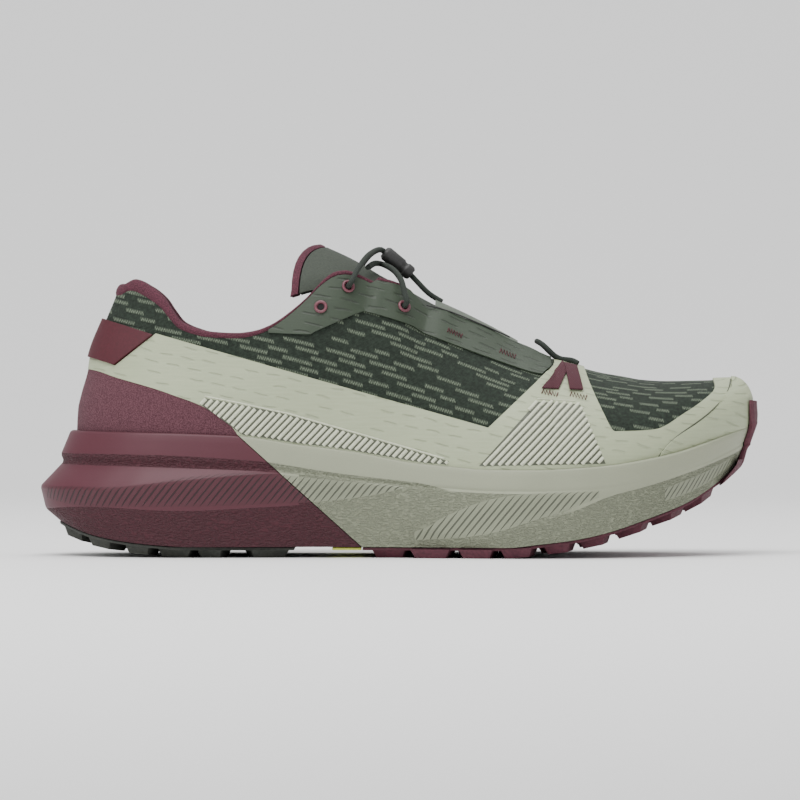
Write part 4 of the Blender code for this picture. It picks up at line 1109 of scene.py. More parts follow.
def foam_material(name, light, dark, deep):
    """Foam with grained zones and slots, drawn along the sole's own lines; the slots are darkened with
    painted shade, and the grained zones with a darker tone that is partly painted shade.
    """
    p = Paint(name, light, 0.7)
    x, y, z = p.axes()
    arc = p.axes("side")[0]
    share_x = (x + LENGTH / 2) / LENGTH
    share_z = z / HEIGHT
    ridge, crease = p.curve(share_x, RIDGE), p.curve(share_x, CREASE)
    groove, band = p.curve(share_x, GROOVE), p.curve(share_x, BAND)
    slots = depth = None
    for low, high, start, end, lean, pitch in SLOT_FIELDS:
        bottom, top = p.curve(share_x, low), p.curve(share_x, high)
        q = (share_z - bottom) / (top - bottom)
        near = q.more_than(0.0, 1.0) * share_x.more_than(start, end)
        bow = 1.0 - ((q - 0.5).abs() * 2.0).power(3.0)
        t = (((arc - (z * lean)) / pitch).fract() - 0.5)
        line = 1.0 - ((t.abs() * 2.0) / (bow * 0.30 + 0.02)).ramp(0.55, 1.0)
        slots = line * near if slots is None else slots + line * near
        depth = near if depth is None else depth + near
    grain_zone = share_z.less(ridge)
    middle = share_z.less(crease) * share_x.more(GRAIN_START) * (1.0 - share_x.ramp(*GRAIN_FADE))
    strip = share_z.more(groove - 0.008)
    strip = strip * share_z.less(band + 0.004 - share_x.ramp(*GROOVE_FADE) * 0.04)
    # darker tone for the grained zones, groove and slot fields: partly the grain's own tone, partly painted
    # shade in the groove under the band's lip and on the down-facing wall below the ridge
    grain_and_shade_zone = (grain_zone + middle + strip + depth * 0.55).cap()
    zone = (grain_zone + middle + strip).cap() * (1.0 - depth.cap())
    wrinkle = p.noise(1000, 2, 0.55, p.vector_of(x * 0.55, y * 0.55, z * 1.5))
    fine = p.noise(2400, 2, 0.6)
    cloud = p.noise(25, 2)
    tone = fine * 0.25 + cloud * 0.3 + grain_and_shade_zone * 0.38 + zone * wrinkle.ramp(0.62, 0.38) * 0.14
    tone = (tone - 0.12).cap()
    body = p.mix(tone, light, dark)
    # slots mixed toward the third colour: painted shade inside the sunk slots
    p.tint(p.mix(slots.cap() * 0.9, body, deep))
    p.bump(wrinkle.ramp(0.32, 0.64) * zone, 0.0007, 1.0)
    p.bump(0.0 - slots.cap(), 0.0010, 1.0)
    p.bump(fine, 0.00006, 0.3)
    p.gloss(zone * 0.2 + fine * 0.1 + 0.5)
    return p.material


def plain_material(name, color, dark, roughness=0.8, scale=600, depth=0.0002):
    """One colour with a fine grit."""
    p = Paint(name, color, roughness)
    grit = p.noise(scale, 3, 0.6)
    p.tint(p.mix(grit.ramp(0.3, 0.75), color, dark))
    p.bump(grit, depth, 0.6)
    return p.material


def felt_material(name, color, light, dark):
    """Cloth with fine specks."""
    p = Paint(name, color, 0.95)
    specks = p.noise(2400, 2, 0.7)
    p.tint(p.mix(specks.ramp(0.35, 0.65), dark, light))
    p.bump(specks, 0.0003, 0.7)
    return p.material


def weave_of(p, pitch):
    """Crossed threads at a pitch."""
    x, _, z = p.axes()
    return (((x + z) / pitch).fract() - 0.5).abs() + (((x - z) / pitch).fract() - 0.5).abs()


def webbing_material():
    """Flat woven strip."""
    p = Paint("webbing", lin(73, 29, 38), 0.9)
    weave = weave_of(p, 0.0007)
    p.tint(p.mix(weave.ramp(0.3, 0.8), lin(56, 20, 29), lin(85, 37, 49)))
    p.bump(weave, 0.0003, 0.8)
    return p.material


def cord_material():
    """Round braid."""
    p = Paint("lace", lin(30, 36, 31), 0.9)
    weave = weave_of(p, 0.0008)
    grit = p.noise(1500, 2)
    p.tint(p.mix((weave * 0.7 + grit * 0.4 - 0.1).cap(), lin(22, 28, 23), lin(48, 56, 49)))
    p.bump(weave, 0.0002, 0.7)
    return p.material


MATERIALS = {}


def make_materials():
    """Every material, by its slot name."""
    MATERIALS.update(
        knit=knit_material(),
        film=film_material("film", lin(165, 173, 143), lin(125, 134, 107)),
        stay_film=film_material("stay_film", lin(46, 58, 42), lin(31, 39, 27), 0.011, 0.0042, 0.6, 0.2),
        pocket_film=film_material("pocket_film", lin(84, 92, 80), lin(70, 78, 66), 0.011, 0.0042, 0.1),
        # dark film colour: painted shade for the bed between the ribs and the line at the toe cap's edge
        film_dark=film_material("film_dark", lin(78, 82, 68), lin(62, 66, 54), 0.011, 0.0042, 0.0),
        felt=felt_material("felt", lin(79, 45, 54), lin(98, 60, 69), lin(64, 31, 40)),
        strap=plain_material("strap", lin(70, 6, 23), lin(61, 4, 18), 0.65, 900, 0.0001),
        binding=felt_material("binding", lin(75, 30, 45), lin(94, 45, 60), lin(52, 20, 30)),
        tongue_cloth=plain_material("tongue_cloth", lin(53, 60, 50), lin(43, 49, 41), 0.8, 1200, 0.0002),
        lining=plain_material("lining", lin(66, 76, 68), lin(54, 62, 56), 0.95, 1200, 0.0003),
        # each foam's third colour is painted shade inside its slots
        foam_rear=foam_material("foam_rear", lin(77, 25, 39), lin(53, 12, 22), lin(31, 5, 11)),
        foam_front=foam_material("foam_front", lin(149, 153, 131), lin(111, 116, 97), lin(70, 74, 61)),
        rubber_rear=plain_material("rubber_rear", lin(58, 60, 54), lin(44, 46, 42), 0.75, 900, 0.0002),
        rubber_front=plain_material("rubber_front", lin(88, 39, 52), lin(67, 27, 39), 0.75, 900, 0.0002),
        rubber_bright=plain_material("rubber_bright", lin(214, 224, 96), lin(196, 206, 80), 0.7, 900, 0.0001),
        eyelet=plain_material("eyelet", lin(112, 62, 72), lin(92, 48, 58), 0.4, 700, 0.00005),
        webbing=webbing_material(),
        lace=cord_material(),
        lock_plastic=plain_material("lock_plastic", lin(41, 40, 40), lin(28, 29, 28), 0.5, 1500, 0.00015),
        rib=plain_material("rib", lin(204, 208, 184), lin(184, 188, 166), 0.6, 900, 0.0001),
        tack=plain_material("tack", lin(96, 34, 48), lin(70, 24, 36), 0.8, 900, 0.0001),
        # near-black disc colour: painted shade inside the eyelets' holes
        hole=plain_material("hole", lin(22, 22, 22), lin(16, 16, 16), 0.9, 900, 0.0001),
    )


def check_ready():
    """Stop with a plain error where there is nothing to build on."""
    if not frame["nodes"]:
        raise RuntimeError("the frame holds no packed solid")
    if not MATERIALS:
        raise RuntimeError("the materials have to be made first")


def finish_piece(obj, material, *nodes, slot=None):
    """Dress a piece, tie it to the body and hide the solids it stands for."""
    if obj.type == "MESH" and material:
        obj.data.materials.clear()
        obj.data.materials.append(MATERIALS[material])
    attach(obj, "root")
    if nodes:
        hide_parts(*nodes)
    return obj


def finish_lines(name, paths, radius, material, slot, sides=6):
    """Thick lines along paths that lie on another piece."""
    finish_piece(lines(name, paths, radius, MATERIALS[material], sides), None, slot=slot)


# Sole
def round_rows(rows, size):
    """Cut each corner of the profile rows at a distance, for a soft edge."""
    made = [rows[0]]
    for k in range(1, len(rows) - 1):
        before, here, after = rows[k - 1], rows[k], rows[k + 1]
        for other in (before, after):
            d = other - here
            length = np.maximum(np.linalg.norm(d, axis=1, keepdims=True), 1e-9)
            made.append(here + d * np.minimum(0.4, size / length))
    return made + [rows[-1]]


def split_rows(rows, size):
    """Add rows so that no gap is wider than size."""
    made = [rows[0]]
    for a, b in zip(rows, rows[1:]):
        gap = np.linalg.norm(b - a, axis=1).max()
        parts = max(1, math.ceil(gap / size))
        for k in range(1, parts + 1):
            made.append(a + (b - a) * k / parts)
    return made


# sizes in metres of the two cuts that round the foam's corners, and the widest gap between rows
CORNER_CUTS = (0.0007, 0.00022)
ROW_GAP = 0.004


def sole_rows(us):
    """Rows of the foam's outside from the bottom edge to the seat, each a full ring."""
    ring = [(-1, u) for u in us] + [(1, u) for u in us]

    def as_row(point):
        return np.array([tuple(point(side, u)) for side, u in ring])

    rows = [as_row(lambda side, u, level=level: level_point(level, side, u)) for level in LEVELS]

    def seat(depth):
        def point(side, u):
            x = foot_line(u)
            top, floor = height(RIM, x), height(FOOTBED, x)
            return wall_place(side, u, top + (floor - top) * depth, GAP)
        return point

    rows += [as_row(seat(depth)) for depth in (0.0, 0.5, 1.0)]
    for size in CORNER_CUTS:
        rows = round_rows(rows, size)
    return split_rows(rows, ROW_GAP)


def make_midsoles():
    """Both foams, cut from one form along the slanted joint."""
    us = stations(SKIN_STATIONS)
    rows = sole_rows(us)
    n = len(us)
    points = np.concatenate(rows)
    faces = stack_faces(len(rows), n)
    high, low = ((lay(LENGTH * a), HEIGHT * b) for a, b in JOINT)
    run = Vector((low[0] - high[0], 0, low[1] - high[1])).normalized()
    across = Vector((-run.z, 0, run.x))
    place = Vector((high[0], 0, high[1]))
    crease = rows[len(rows) // 3]
    arcs = []
    for side in (0, 1):
        line = crease[side * n:(side + 1) * n]
        arcs.append(np.concatenate([[0.0], np.cumsum(np.linalg.norm(np.diff(line, axis=0), axis=1))]))
    arc = np.concatenate(arcs)
    cloth = np.stack([np.tile(arc, len(rows)), points[:, 2]], axis=1)
    for name, sign, material in (("midsole_rear", 1, "foam_rear"), ("midsole_front", -1, "foam_front")):
        obj = make_object(name + "_look", points, faces, 55, cloth)
        obj.data.uv_layers[0].name = "side"
        bm = bmesh.new()
        bm.from_mesh(obj.data)
        edges = cut_away(bm, place - across * sign * GAP / 2, across * sign)
        bmesh.ops.triangle_fill(bm, edges=edges, use_beauty=True)
        bmesh.ops.recalc_face_normals(bm, faces=bm.faces)
        bm.to_mesh(obj.data)
        bm.free()
        shade(obj, 50)
        finish_piece(obj, material, name)


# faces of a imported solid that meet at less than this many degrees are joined
FLAT_ANGLE = 6
# share of HEIGHT where the front outsole's copy ends and the bumper takes over
COPY_TOP = 0.31


def copy_node(name, width, angle=35, level=None):
    """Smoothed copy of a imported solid, with what lies above a level left out."""
    source = frame["nodes"][name]
    mesh = source.data.copy()
    mesh.transform(source.matrix_world)
    obj = add_object(name + "_look", mesh)
    bm = bmesh.new()
    bm.from_mesh(mesh)
    bmesh.ops.remove_doubles(bm, verts=bm.verts, dist=2e-6)
    if level and max(v.co.z for v in bm.verts) > level:
        bmesh.ops.holes_fill(bm, edges=cut_away(bm, (0, 0, level), (0, 0, 1)))
    bmesh.ops.dissolve_limit(bm, angle_limit=math.radians(FLAT_ANGLE), verts=bm.verts, edges=bm.edges)
    bmesh.ops.recalc_face_normals(bm, faces=bm.faces)
    bm.to_mesh(mesh)
    bm.free()
    mesh.materials.clear()
    bevel(obj, width, 2, angle)
    shade(obj, 35)
    return obj


# toe bumper: thickness in millimetres of each row, and its rear edge, x over z in the side view
BUMPER = (1.4, 1.7, 2.0, 2.3, 2.5, 2.4, 1.8, 1.4, 1.1, 1.0, 0.9)
BUMPER_EDGE = (0.195, 0.9318), (0.292, 0.9673), (0.373, 0.9812), (0.406, 0.985), (0.5, 0.985)
BUMPER_TOP = 0.4996
BUMPER_ACROSS = 36
# front end of the row under the sole, and its width scale
UNDER_TOE = 0.9562
UNDER_SCALE = (0.9, 0.85, 0.9, 0.8)
# heights of its rows on the upper, as shares of the way to its top
BUMPER_ROWS = (0.2, 0.4, 0.6, 0.8, 1.0)
# each row is at least this share of its neighbours' mean width
BUMPER_PINCH = 0.8


def find_between(low, high, test):
    """Value between low and high where the test turns true."""
    for _ in range(30):
        middle = (low + high) / 2
        if test(middle):
            high = middle
        else:
            low = middle
    return high


def make_bumper_look():
    """Rubber that climbs the toe, in smooth rows."""
    def under(side, u):
        x = LENGTH * (LEVELS[0][1] + (UNDER_TOE - LEVELS[0][1]) * share(u))
        mid, half = plan(u, scale_at(UNDER_SCALE, u))
        return Vector((lay(x), mid + side * half, height(BOTTOM, x) - GAP - RUBBER * 0.3))

    def skin_row(part):
        def point(side, u):
            top = find_between(0.1, 1.0, lambda v: skin(side, u, v).z > HEIGHT * BUMPER_TOP)
            return off_skin(side, u, top * part, OVERLAY + 0.0005 + 2 * GAP)
        return point

    rows = [under]
    rows += [lambda side, u, k=k: level_point(LEVELS[k], side, u) for k in (0, 1, 2, 4, 5)]
    rows += [skin_row(part) for part in BUMPER_ROWS]
    across = BUMPER_ACROSS
    starts = []
    for row in rows:
        def past(u, row=row):
            p = row(-1, u)
            return p.x > lay(LENGTH * smooth(BUMPER_EDGE, p.z / HEIGHT))
        starts.append(1 - find_between(0.80, 0.999, past))
    # no row is much narrower than its neighbours
    for _ in range(4):
        starts = [max(wide, BUMPER_PINCH * (starts[max(k - 1, 0)] + starts[min(k + 1, len(starts) - 1)]) / 2)
                  for k, wide in enumerate(starts)]
    grid = []
    for row, wide in zip(rows, starts):
        line = []
        for k in range(across + 1):
            t = 2 * k / across - 1
            line.append(row(-1 if t < 0 else 1, 1 - wide * abs(t)))
        grid.append(line)
    loops = []
    for i in range(across + 1):
        inner, outer = [], []
        edge = 0.6 + 0.4 * min(1.0, min(i, across - i) / 3)
        for k, (line, size) in enumerate(zip(grid, BUMPER)):
            a, b = line[max(i - 1, 0)], line[min(i + 1, across)]
            flat = Vector((b.y - a.y, a.x - b.x, 0)).normalized()
            if k == 0:
                inner.append(line[i])
                outer.append(line[i] - Vector((0, 0, size / 1000)))
            else:
                inner.append(line[i] + flat * GAP)
                outer.append(line[i] + flat * (GAP * 1.2 + size * edge / 1000))
        outer[1] -= Vector((0, 0, 0.0008))
        loops.append(curve_through(inner) + curve_through(outer)[::-1])
    obj = rings_object("toe_bumper_look", loops, strips=True, angle=50)
    bevel(obj, 0.0003, 2, 50)
    return obj


RUBBERS = {"outsole_heel": "rubber_rear", "outsole_forefoot": "rubber_front", "arch_inlay": "rubber_bright"}


def make_outsoles():
    """Rubber sheets with their lugs, and the toe bumper."""
    for name, slot in RUBBERS.items():
        finish_piece(copy_node(name, 0.0003, level=HEIGHT * COPY_TOP), slot, name)
    finish_piece(make_bumper_look(), "rubber_front", "outsole_forefoot")


# Upper and its soft parts
def make_upper():
    """Knit skin and lining in one piece, open at collar, throat and underneath."""
    s = FINE
    outer = s.points
    inner = s.lifted(-WALL)
    count, columns = outer.shape[:2]
    points = np.concatenate([outer.reshape(-1, 3), inner.reshape(-1, 3)])
    faces = sheet_faces(count, columns, True)
    half = count * columns
    faces += [tuple(half + v for v in reversed(f)) for f in faces[:]]
    ring = s.ring
    for k in range(count):
        a, b = k, (k + 1) % count
        lower = (a * columns, b * columns)
        faces.append((lower[0], half + lower[0], half + lower[1], lower[1]))
        if min(ring[a][1], ring[b][1]) < THROAT_U - 1e-9:
            top = (a * columns + columns - 1, b * columns + columns - 1)
            faces.append((top[0], top[1], half + top[1], half + top[0]))
    n = len(s.us)
    for i in range(1, n - 1):
        if s.us[n - 1 - i] >= THROAT_U - 1e-9:
            j = count - i
            for base in (0, half):
                a, b = base + i * columns + columns - 1, base + j * columns + columns - 1
                middle = (points[a] + points[b]) / 2
                points[a] = points[b] = middle
    cloth = np.stack([points[:, 0], np.concatenate([s.cloth.reshape(-1)] * 2)], axis=1)
    obj = make_object("upper_look", points, faces, 60, cloth, {"inner": np.repeat([0.0, 1.0], half)})
    finish_piece(obj, "knit", "upper")


def make_insole_look():
    """Padded footbed."""
    us = stations(80)

    def ring(lift, inset):
        rows = []
        for side in (-1, 1):
            for u in us:
                z = height(FOOTBED, foot_line(u)) + GAP
                p = wall_place(side, u, z, -(WALL + GAP + inset))
                p.z = z + lift
                rows.append(tuple(p))
        return np.array(rows)

    rows = [ring(0.0, 0.0009), ring(INSOLE * 0.7, 0.0003), ring(INSOLE, 0.0018)]
    faces = stack_faces(len(rows), len(us))
    obj = make_object("insole_look", np.concatenate(rows), faces, 50)
    finish_piece(obj, "lining", "insole")


# how far round the cuff reaches as a station's place, and how its last three rings shrink
CUFF_STOP = 0.455
CUFF_FADE = (0.9, 0.75, 0.4)


def cuff_loops(us, sides_count=14):
    """Rings of the padded collar along its edge."""
    fades = dict(zip(us[-3:], CUFF_FADE))
    path = [(-1, u) for u in reversed(us)] + [(1, u) for u in us[1:]]
    loops = []
    for side, u in path:
        top = skin(side, u, 1.0)
        out = skin_normal(side, u, 1.0)
        rise = (top - skin(side, u, 0.95)).normalized()
        size = cuff_size(edge_at(u)[0]) + PIPING
        fade = fades.get(u, 1.0)
        middle = top - out * WALL / 2 + rise * (size / 2 - 0.0005 * min(1.0, size / 0.004))
        wide = (WALL + 0.0014) / 2 * fade
        loops.append([middle + out * wide * math.cos(a) + rise * size / 2 * fade * math.sin(a)
                      for a in (math.tau * k / sides_count for k in range(sides_count))])
    return loops


def make_cuff():
    """Padded collar."""
    end = station(CUFF_STOP)
    us = [end * i / 90 for i in range(91)]
    obj = rings_object("collar_cuff_look", cuff_loops(us), angle=70)
    finish_piece(obj, "binding", "collar_cuff")


def tongue_rows(steps):
    """Tongue table read at closer places."""
    rows = []
    for a, b in zip(TONGUE, TONGUE[1:]):
        for k in range(steps):
            t = k / steps
            place = a[0] + (b[0] - a[0]) * t
            rows.append(tuple(smooth(tuple((-r[0], r[i]) for r in TONGUE), -place) if i else place
                              for i in range(4)))
    rows.append(TONGUE[-1])
    return rows


# trim round the tongue's end: how far along it and how wide each ring is
TRIM_RINGS = ((0.0, 0.96), (0.12, 1.03), (0.35, 1.06), (0.7, 1.04), (0.9, 0.9), (1.0, 0.6))
TRIM_LENGTH = 0.0032
# the lace pocket's reach along the tongue, in shares of LENGTH
POCKET = (0.5487, 0.6641)


def make_tongue_look():
    """Padded tongue and the trim round its end."""
    rows = tongue_rows(4)
    tops = [tongue_section(row, 16) for row in rows]
    loops = []
    for k, top in enumerate(tops):
        ahead, behind = tops[max(k - 1, 0)], tops[min(k + 1, len(tops) - 1)]
        under = []
        count = len(top)
        for i, p in enumerate(top):
            q, r = top[max(i - 1, 0)], top[min(i + 1, count - 1)]
            n = (r - q).cross(ahead[i] - behind[i])
            edge = min(1.0, 0.45 + 0.55 * min(i, count - 1 - i) / 3)
            thin = 0.55 + 0.45 * min(1.0, k / 4)
            under.append(p + n.normalized() * TONGUE_PAD * edge * thin)
        loops.append(top + under[::-1])
    obj = rings_object("tongue_look", loops, strips=True, angle=60)
    finish_piece(obj, "tongue_cloth", "tongue")
    end, before = loops[-1], loops[-2]
    made = []
    for step, wide in TRIM_RINGS:
        ring = []
        count = len(end)
        for i, p in enumerate(end):
            back = (p - before[i]).normalized()
            middle = (p + end[count - 1 - i]) / 2
            ring.append(middle + (p - middle) * wide + back * (2 * GAP + TRIM_LENGTH * step))
        made.append(ring)
    finish_piece(rings_object("tongue_trim_look", made, strips=True, angle=60), "binding", "tongue_trim")


def make_garage_look():
    """Flap of the lace pocket, a little bowed."""
    loops = []
    for row in [r for r in tongue_rows(4) if POCKET[0] <= r[0] <= POCKET[1]]:
        top = tongue_section(row, 12)[3:-3]
        count = len(top)
        lower = [p + Vector((0, 0, GAP * 2.5)) for p in top]
        upper = []
        for i, p in enumerate(top):
            bow = 1 - (2 * i / (count - 1) - 1) ** 2
            upper.append(p + Vector((0, 0, GAP * 2.5 + 0.0009 + 0.0008 * bow)))
        loops.append(lower + upper[::-1])
    obj = rings_object("lace_garage_look", loops, strips=True, angle=50)
    finish_piece(obj, "pocket_film", "lace_garage")


# Overlays
SIDES = ((-1, "lateral"), (1, "medial"))


def make_overlays():
    """Cage, counter, strap, toe cap and eyestays."""
    lift, thick = GAP, OVERLAY
    cage = soften(grow(side_polygon(CAGE), FILM_EDGE))
    finish_piece(panel("cage_look", cage, lift, thick), "film", "cage")
    counter = soften(grow(side_polygon(COUNTER), COVER_EDGE))
    finish_piece(panel("heel_counter_look", counter, lift * 0.4, thick), "felt", "heel_counter")
    strap = side_polygon(STRAP)
    finish_piece(panel("heel_strap_look", strap, lift, thick + 0.0009, edge=0.0003), "strap", "heel_strap")
    cap = soften(grow(side_polygon(TOE_CAP), COVER_EDGE), 40)
    finish_piece(panel("toe_cap_look", cap, lift, thick + 0.0005, edge=0.0003), "film", "toe_cap")
    stay = soften(side_polygon(EYESTAY))
    for side, word in SIDES:
        name = "eyestay_" + word
        finish_piece(panel(name + "_look", stay, lift, thick, sides=(side,)), "stay_film", name)


# Lacing
def tube_mesh(name, points, radius, sides=12, twist=0.0):
    """Round tube along points, with flat caps at its ends."""
    points = [Vector(p) for p in points]
    loops = []
    frame_x = None
    for i, p in enumerate(points):
        a, b = points[max(i - 1, 0)], points[min(i + 1, len(points) - 1)]
        along_dir = (b - a).normalized()
        if frame_x is None:
            frame_x = along_dir.orthogonal().normalized()
        frame_x = (frame_x - along_dir * frame_x.dot(along_dir)).normalized()
        other = along_dir.cross(frame_x)
        loops.append([p + (frame_x * math.cos(t) + other * math.sin(t)) * radius
                      for t in (math.tau * k / sides + twist * i for k in range(sides))])
    return rings_object(name, loops, angle=60)


# rounds in which the bends of a route are eased
ROUTE_PASSES = 14


def dense_route(points, step=0.0007):
    """Smooth curve along route points, its sharp bends eased."""
    dense = curve_through([Vector(p) for p in points], step=step)
    for _ in range(ROUTE_PASSES):
        inner = [b * 0.5 + (a + c) * 0.25 for a, b, c in zip(dense, dense[1:], dense[2:])]
        dense = dense[:1] + inner + dense[-1:]
    return dense


# an eyelet's section: share of its radius, height in metres
EYELET_PROFILE = (
    (0.52, 0.0), (0.97, 0.0), (1.0, 0.0003), (0.95, 0.0006), (0.84, 0.0008), (0.70, 0.0008),
    (0.60, 0.0006), (0.54, 0.0003),
)


def make_eyelets():
    """Eyelets with near-black discs of painted shade in their holes; gives where each one's lace comes out.
    """
    bases = {}
    number = 0
    for side in (-1, 1):
        for x, z in EYELETS:
            number += 1
            p, out = FINE.nearest(side, lay(LENGTH * x), HEIGHT * z)
            base = p + out * (GAP + OVERLAY + 0.00025)
            a = out.orthogonal().normalized()
            b = out.cross(a)

            def spokes(count):
                turns = [math.tau * k / count for k in range(count)]
                return [a * math.cos(t) + b * math.sin(t) for t in turns]

            loops = [[base + spoke * EYELET / 2 * r + out * h for r, h in EYELET_PROFILE]
                     for spoke in spokes(32)]
            obj = rings_object("eyelet_%d_look" % number, loops, closed=True, angle=50)
            finish_piece(obj, "eyelet", "eyelet_%d" % number)
            # near-black disc in each eyelet: painted shade inside the hole
            disc = [[base - out * 0.0001 * (1 - j) + spoke * EYELET * 0.27 for spoke in spokes(20)]
                    for j in (0, 1)]
            finish_piece(rings_object("eyelet_hole_%d" % number, disc), "hole", slot="knit")
            bases[number] = (base, out)
    return bases


def route(rows, side):
    """Points of a lace route on one side of the throat's middle line."""
    made = []
    for place, out, top in rows:
        middle = column(OPENING, 2, station(place)) * SOLE_WIDTH / 2
        made.append(Vector((lay(LENGTH * place), middle + side * out / 1000, HEIGHT * top)))
    return made


# heights over an eyelet through which the lace leaves it
EXIT = (0.0002, 0.0016, 0.0040)


def make_laces(bases):
    """Cord lock, the two strands, the crossings, the front lace and the tail."""
    lock = copy_node("cord_lock", 0.00025, 30)
    finish_piece(lock, "lock_plastic", "cord_lock")
    into = Vector((lay(LENGTH * 0.483), 0.0006, HEIGHT * 0.974))
    for (side, word), key in zip(SIDES, (1, 4)):
        base, out = bases[key]
        points = dense_route([base + out * d for d in EXIT] + route(STRAND, side) + [into])
        name = "lace_strand_" + word
        obj = finish_piece(tube_mesh(name + "_look", points, LACE / 2), "lace", name)
    for (side, word), key in zip(SIDES, (3, 6)):
        base, out = bases[key]
        points = dense_route([base + out * d for d in EXIT] + route(CROSSING, side))
        finish_piece(tube_mesh("lace_crossing_" + word, points, LACE / 2), "lace", "lace_crossings")
    front = dense_route(route(FRONT_LACE, -1) + route(FRONT_LACE, 1)[-2::-1])
    obj = finish_piece(tube_mesh("lace_front_look", front, LACE / 2), "lace", "lace_front")
    tail = [Vector((lay(LENGTH * x), 0.0008, HEIGHT * z)) for x, z in ((0.5104, 0.919), (0.5581, 0.822))]
    tail = dense_route(tail[:1] + route(TAIL, -1) + tail[1:])
    obj = finish_piece(tube_mesh("lace_tail_look", tail, LACE / 2), "lace", "lace_tail")


# legs of the front loops: side-view corners
LEGS = (
    ((0.6947, 0.542), (0.718, 0.54), (0.733, 0.61), (0.7246, 0.628)),
    ((0.733, 0.539), (0.7517, 0.537), (0.7448, 0.613), (0.7274, 0.623)),
)


def make_strips():
    """Each loop is two flat legs of webbing, the front one over the rear one."""
    for side, word in SIDES:
        for k, leg in enumerate(LEGS):
            lift = 2 * GAP + OVERLAY + 0.0004 * k
            name = "webbing_%s_leg_%d" % (word, k + 1)
            obj = panel(name, side_polygon(leg), lift, 0.0006, sides=(side,), edge=0.0001)
            finish_piece(obj, "webbing", "webbing_" + word)


# Ribs and stitches
# side-view corners of the ribbed fields in shares
RIB_TOP = (
    (0.2323, 0.511), (0.2799, 0.49), (0.347, 0.457), (0.4423, 0.394), (0.5216, 0.341),
    (0.5668, 0.31),
)
RIB_LEFT = (0.2844, 0.394), (0.266, 0.425), (0.2434, 0.464), (0.2253, 0.491)
SADDLE_FIELD = (0.6878, 0.5), (0.7469, 0.491), (0.7809, 0.303), (0.6078, 0.295)
# places in shares of LENGTH where the quarter's ribs end at the sole
RIB_FOOT = (0.5633, 0.5216, 0.4729, 0.4172, 0.3616, 0.3129)
# how far a rib leans for each metre of height, and the steps in which it is followed
RIB_LEAN = 0.96
RIB_STEPS = 60


def quarter_field():
    """Outline of the ribbed strip, its foot a little above the sole's rim."""
    foot = tuple((x, height(RIM, LENGTH * x) / HEIGHT + 0.004) for x in RIB_FOOT)
    return RIB_TOP + foot + RIB_LEFT


def rib_paths(field, pitch, lift):
    """Parallel raised lines on both sides, clipped by a field."""
    polygon = side_polygon(field)
    xs, zs = zip(*polygon)
    low, high = min(zs), max(zs)
    start = min(xs) - (high - low) * RIB_LEAN
    count = int((max(xs) - start) / pitch) + 1
    paths = []
    for k in range(count):
        x0 = start + k * pitch
        run = []
        for i in range(RIB_STEPS + 1):
            z = low + (high - low) * i / RIB_STEPS
            x = x0 + (z - low) * RIB_LEAN
            if inside(polygon, x, z):
                run.append((x, z))
        if len(run) > 2:
            for side in (-1, 1):
                paths.append([FINE.nearest(side, x, z, lift)[0] for x, z in run[::2] + run[-1:]])
    return paths


def make_ribs(pitch):
    """Ribbed fields of quarter and saddle on a dark bed of painted shade for the gaps between the ribs, with
    a thin raised line along their upper edge whose pale colour is partly painted highlight.
    """
    lift = GAP + OVERLAY
    for word, field in (("quarter", quarter_field()), ("saddle", SADDLE_FIELD)):
        base = soften(side_polygon(field))
        # dark bed under the ribs: painted shade in the gaps between them
        finish_piece(panel("rib_gap_shade_" + word, base, lift * 0.9, 0.00015), "film_dark", slot="film")
        finish_lines("ribs_" + word, rib_paths(field, pitch, lift - 0.0002), RIB_RADIUS, "rib", "film", 8)
    for side in (-1, 1):
        for word, rows in (("quarter", RIB_TOP), ("saddle", SADDLE_FIELD[:2])):
            path = []
            for (ax, az), (bx, bz) in zip(rows, rows[1:]):
                for k in range(8):
                    x, z = ax + (bx - ax) * k / 8, az + (bz - az) * k / 8
                    path.append(FINE.nearest(side, lay(LENGTH * x), HEIGHT * z + 0.0006, lift)[0])
            # raised line in the ribs' pale colour: partly painted highlight on the field's upper edge
            finish_lines("rib_edge_highlight_%s_%d" % (word, (side + 1) // 2), [path], RIB_EDGE_RADIUS, "rib", "film")


THROAT_LINE = (0.5341, 0.811), (0.5515, 0.8), (0.5974, 0.754), (0.6259, 0.725), (0.6502, 0.699)
TOE_LINE = (
    (0.8533, 0.318), (0.8571, 0.341), (0.8748, 0.383), (0.9099, 0.435), (0.935, 0.479),
    (0.9551, 0.53), (0.9611, 0.563),
)


def make_dark_lines():
    """Painted shadow lines: one along the throat's edge and one in the groove beside the toe cap."""
    # near-black tube in the lock's colour: painted shadow of the throat's edge
    throat = [on_skin(-1, x, z, THROAT_LIFT) for x, z in THROAT_LINE]
    finish_lines("throat_line", [dense_route(throat, 0.002)], LINE_RADIUS, "lock_plastic", "knit")
    # dark tubes beside the toe cap: painted shade in the groove at its edge
    cap_shade_lines = [[on_skin(side, x, z, GAP + OVERLAY) for x, z in TOE_LINE] for side in (-1, 1)]
    cap_shade_lines = [dense_route(cap_shade_line, 0.0015) for cap_shade_line in cap_shade_lines]
    finish_lines("toe_cap_shade_line", cap_shade_lines, LINE_RADIUS, "film_dark", "film")


# bar tacks: two ends of each row in the side view, height of the zigzag
TACK_ROWS = (
    ((0.564, 0.726), (0.5848, 0.704), 0.0009),
    ((0.6363, 0.659), (0.6586, 0.636), 0.0009),
    ((0.694, 0.528), (0.717, 0.515), 0.0009),
    ((0.733, 0.519), (0.7559, 0.506), 0.0009),
)


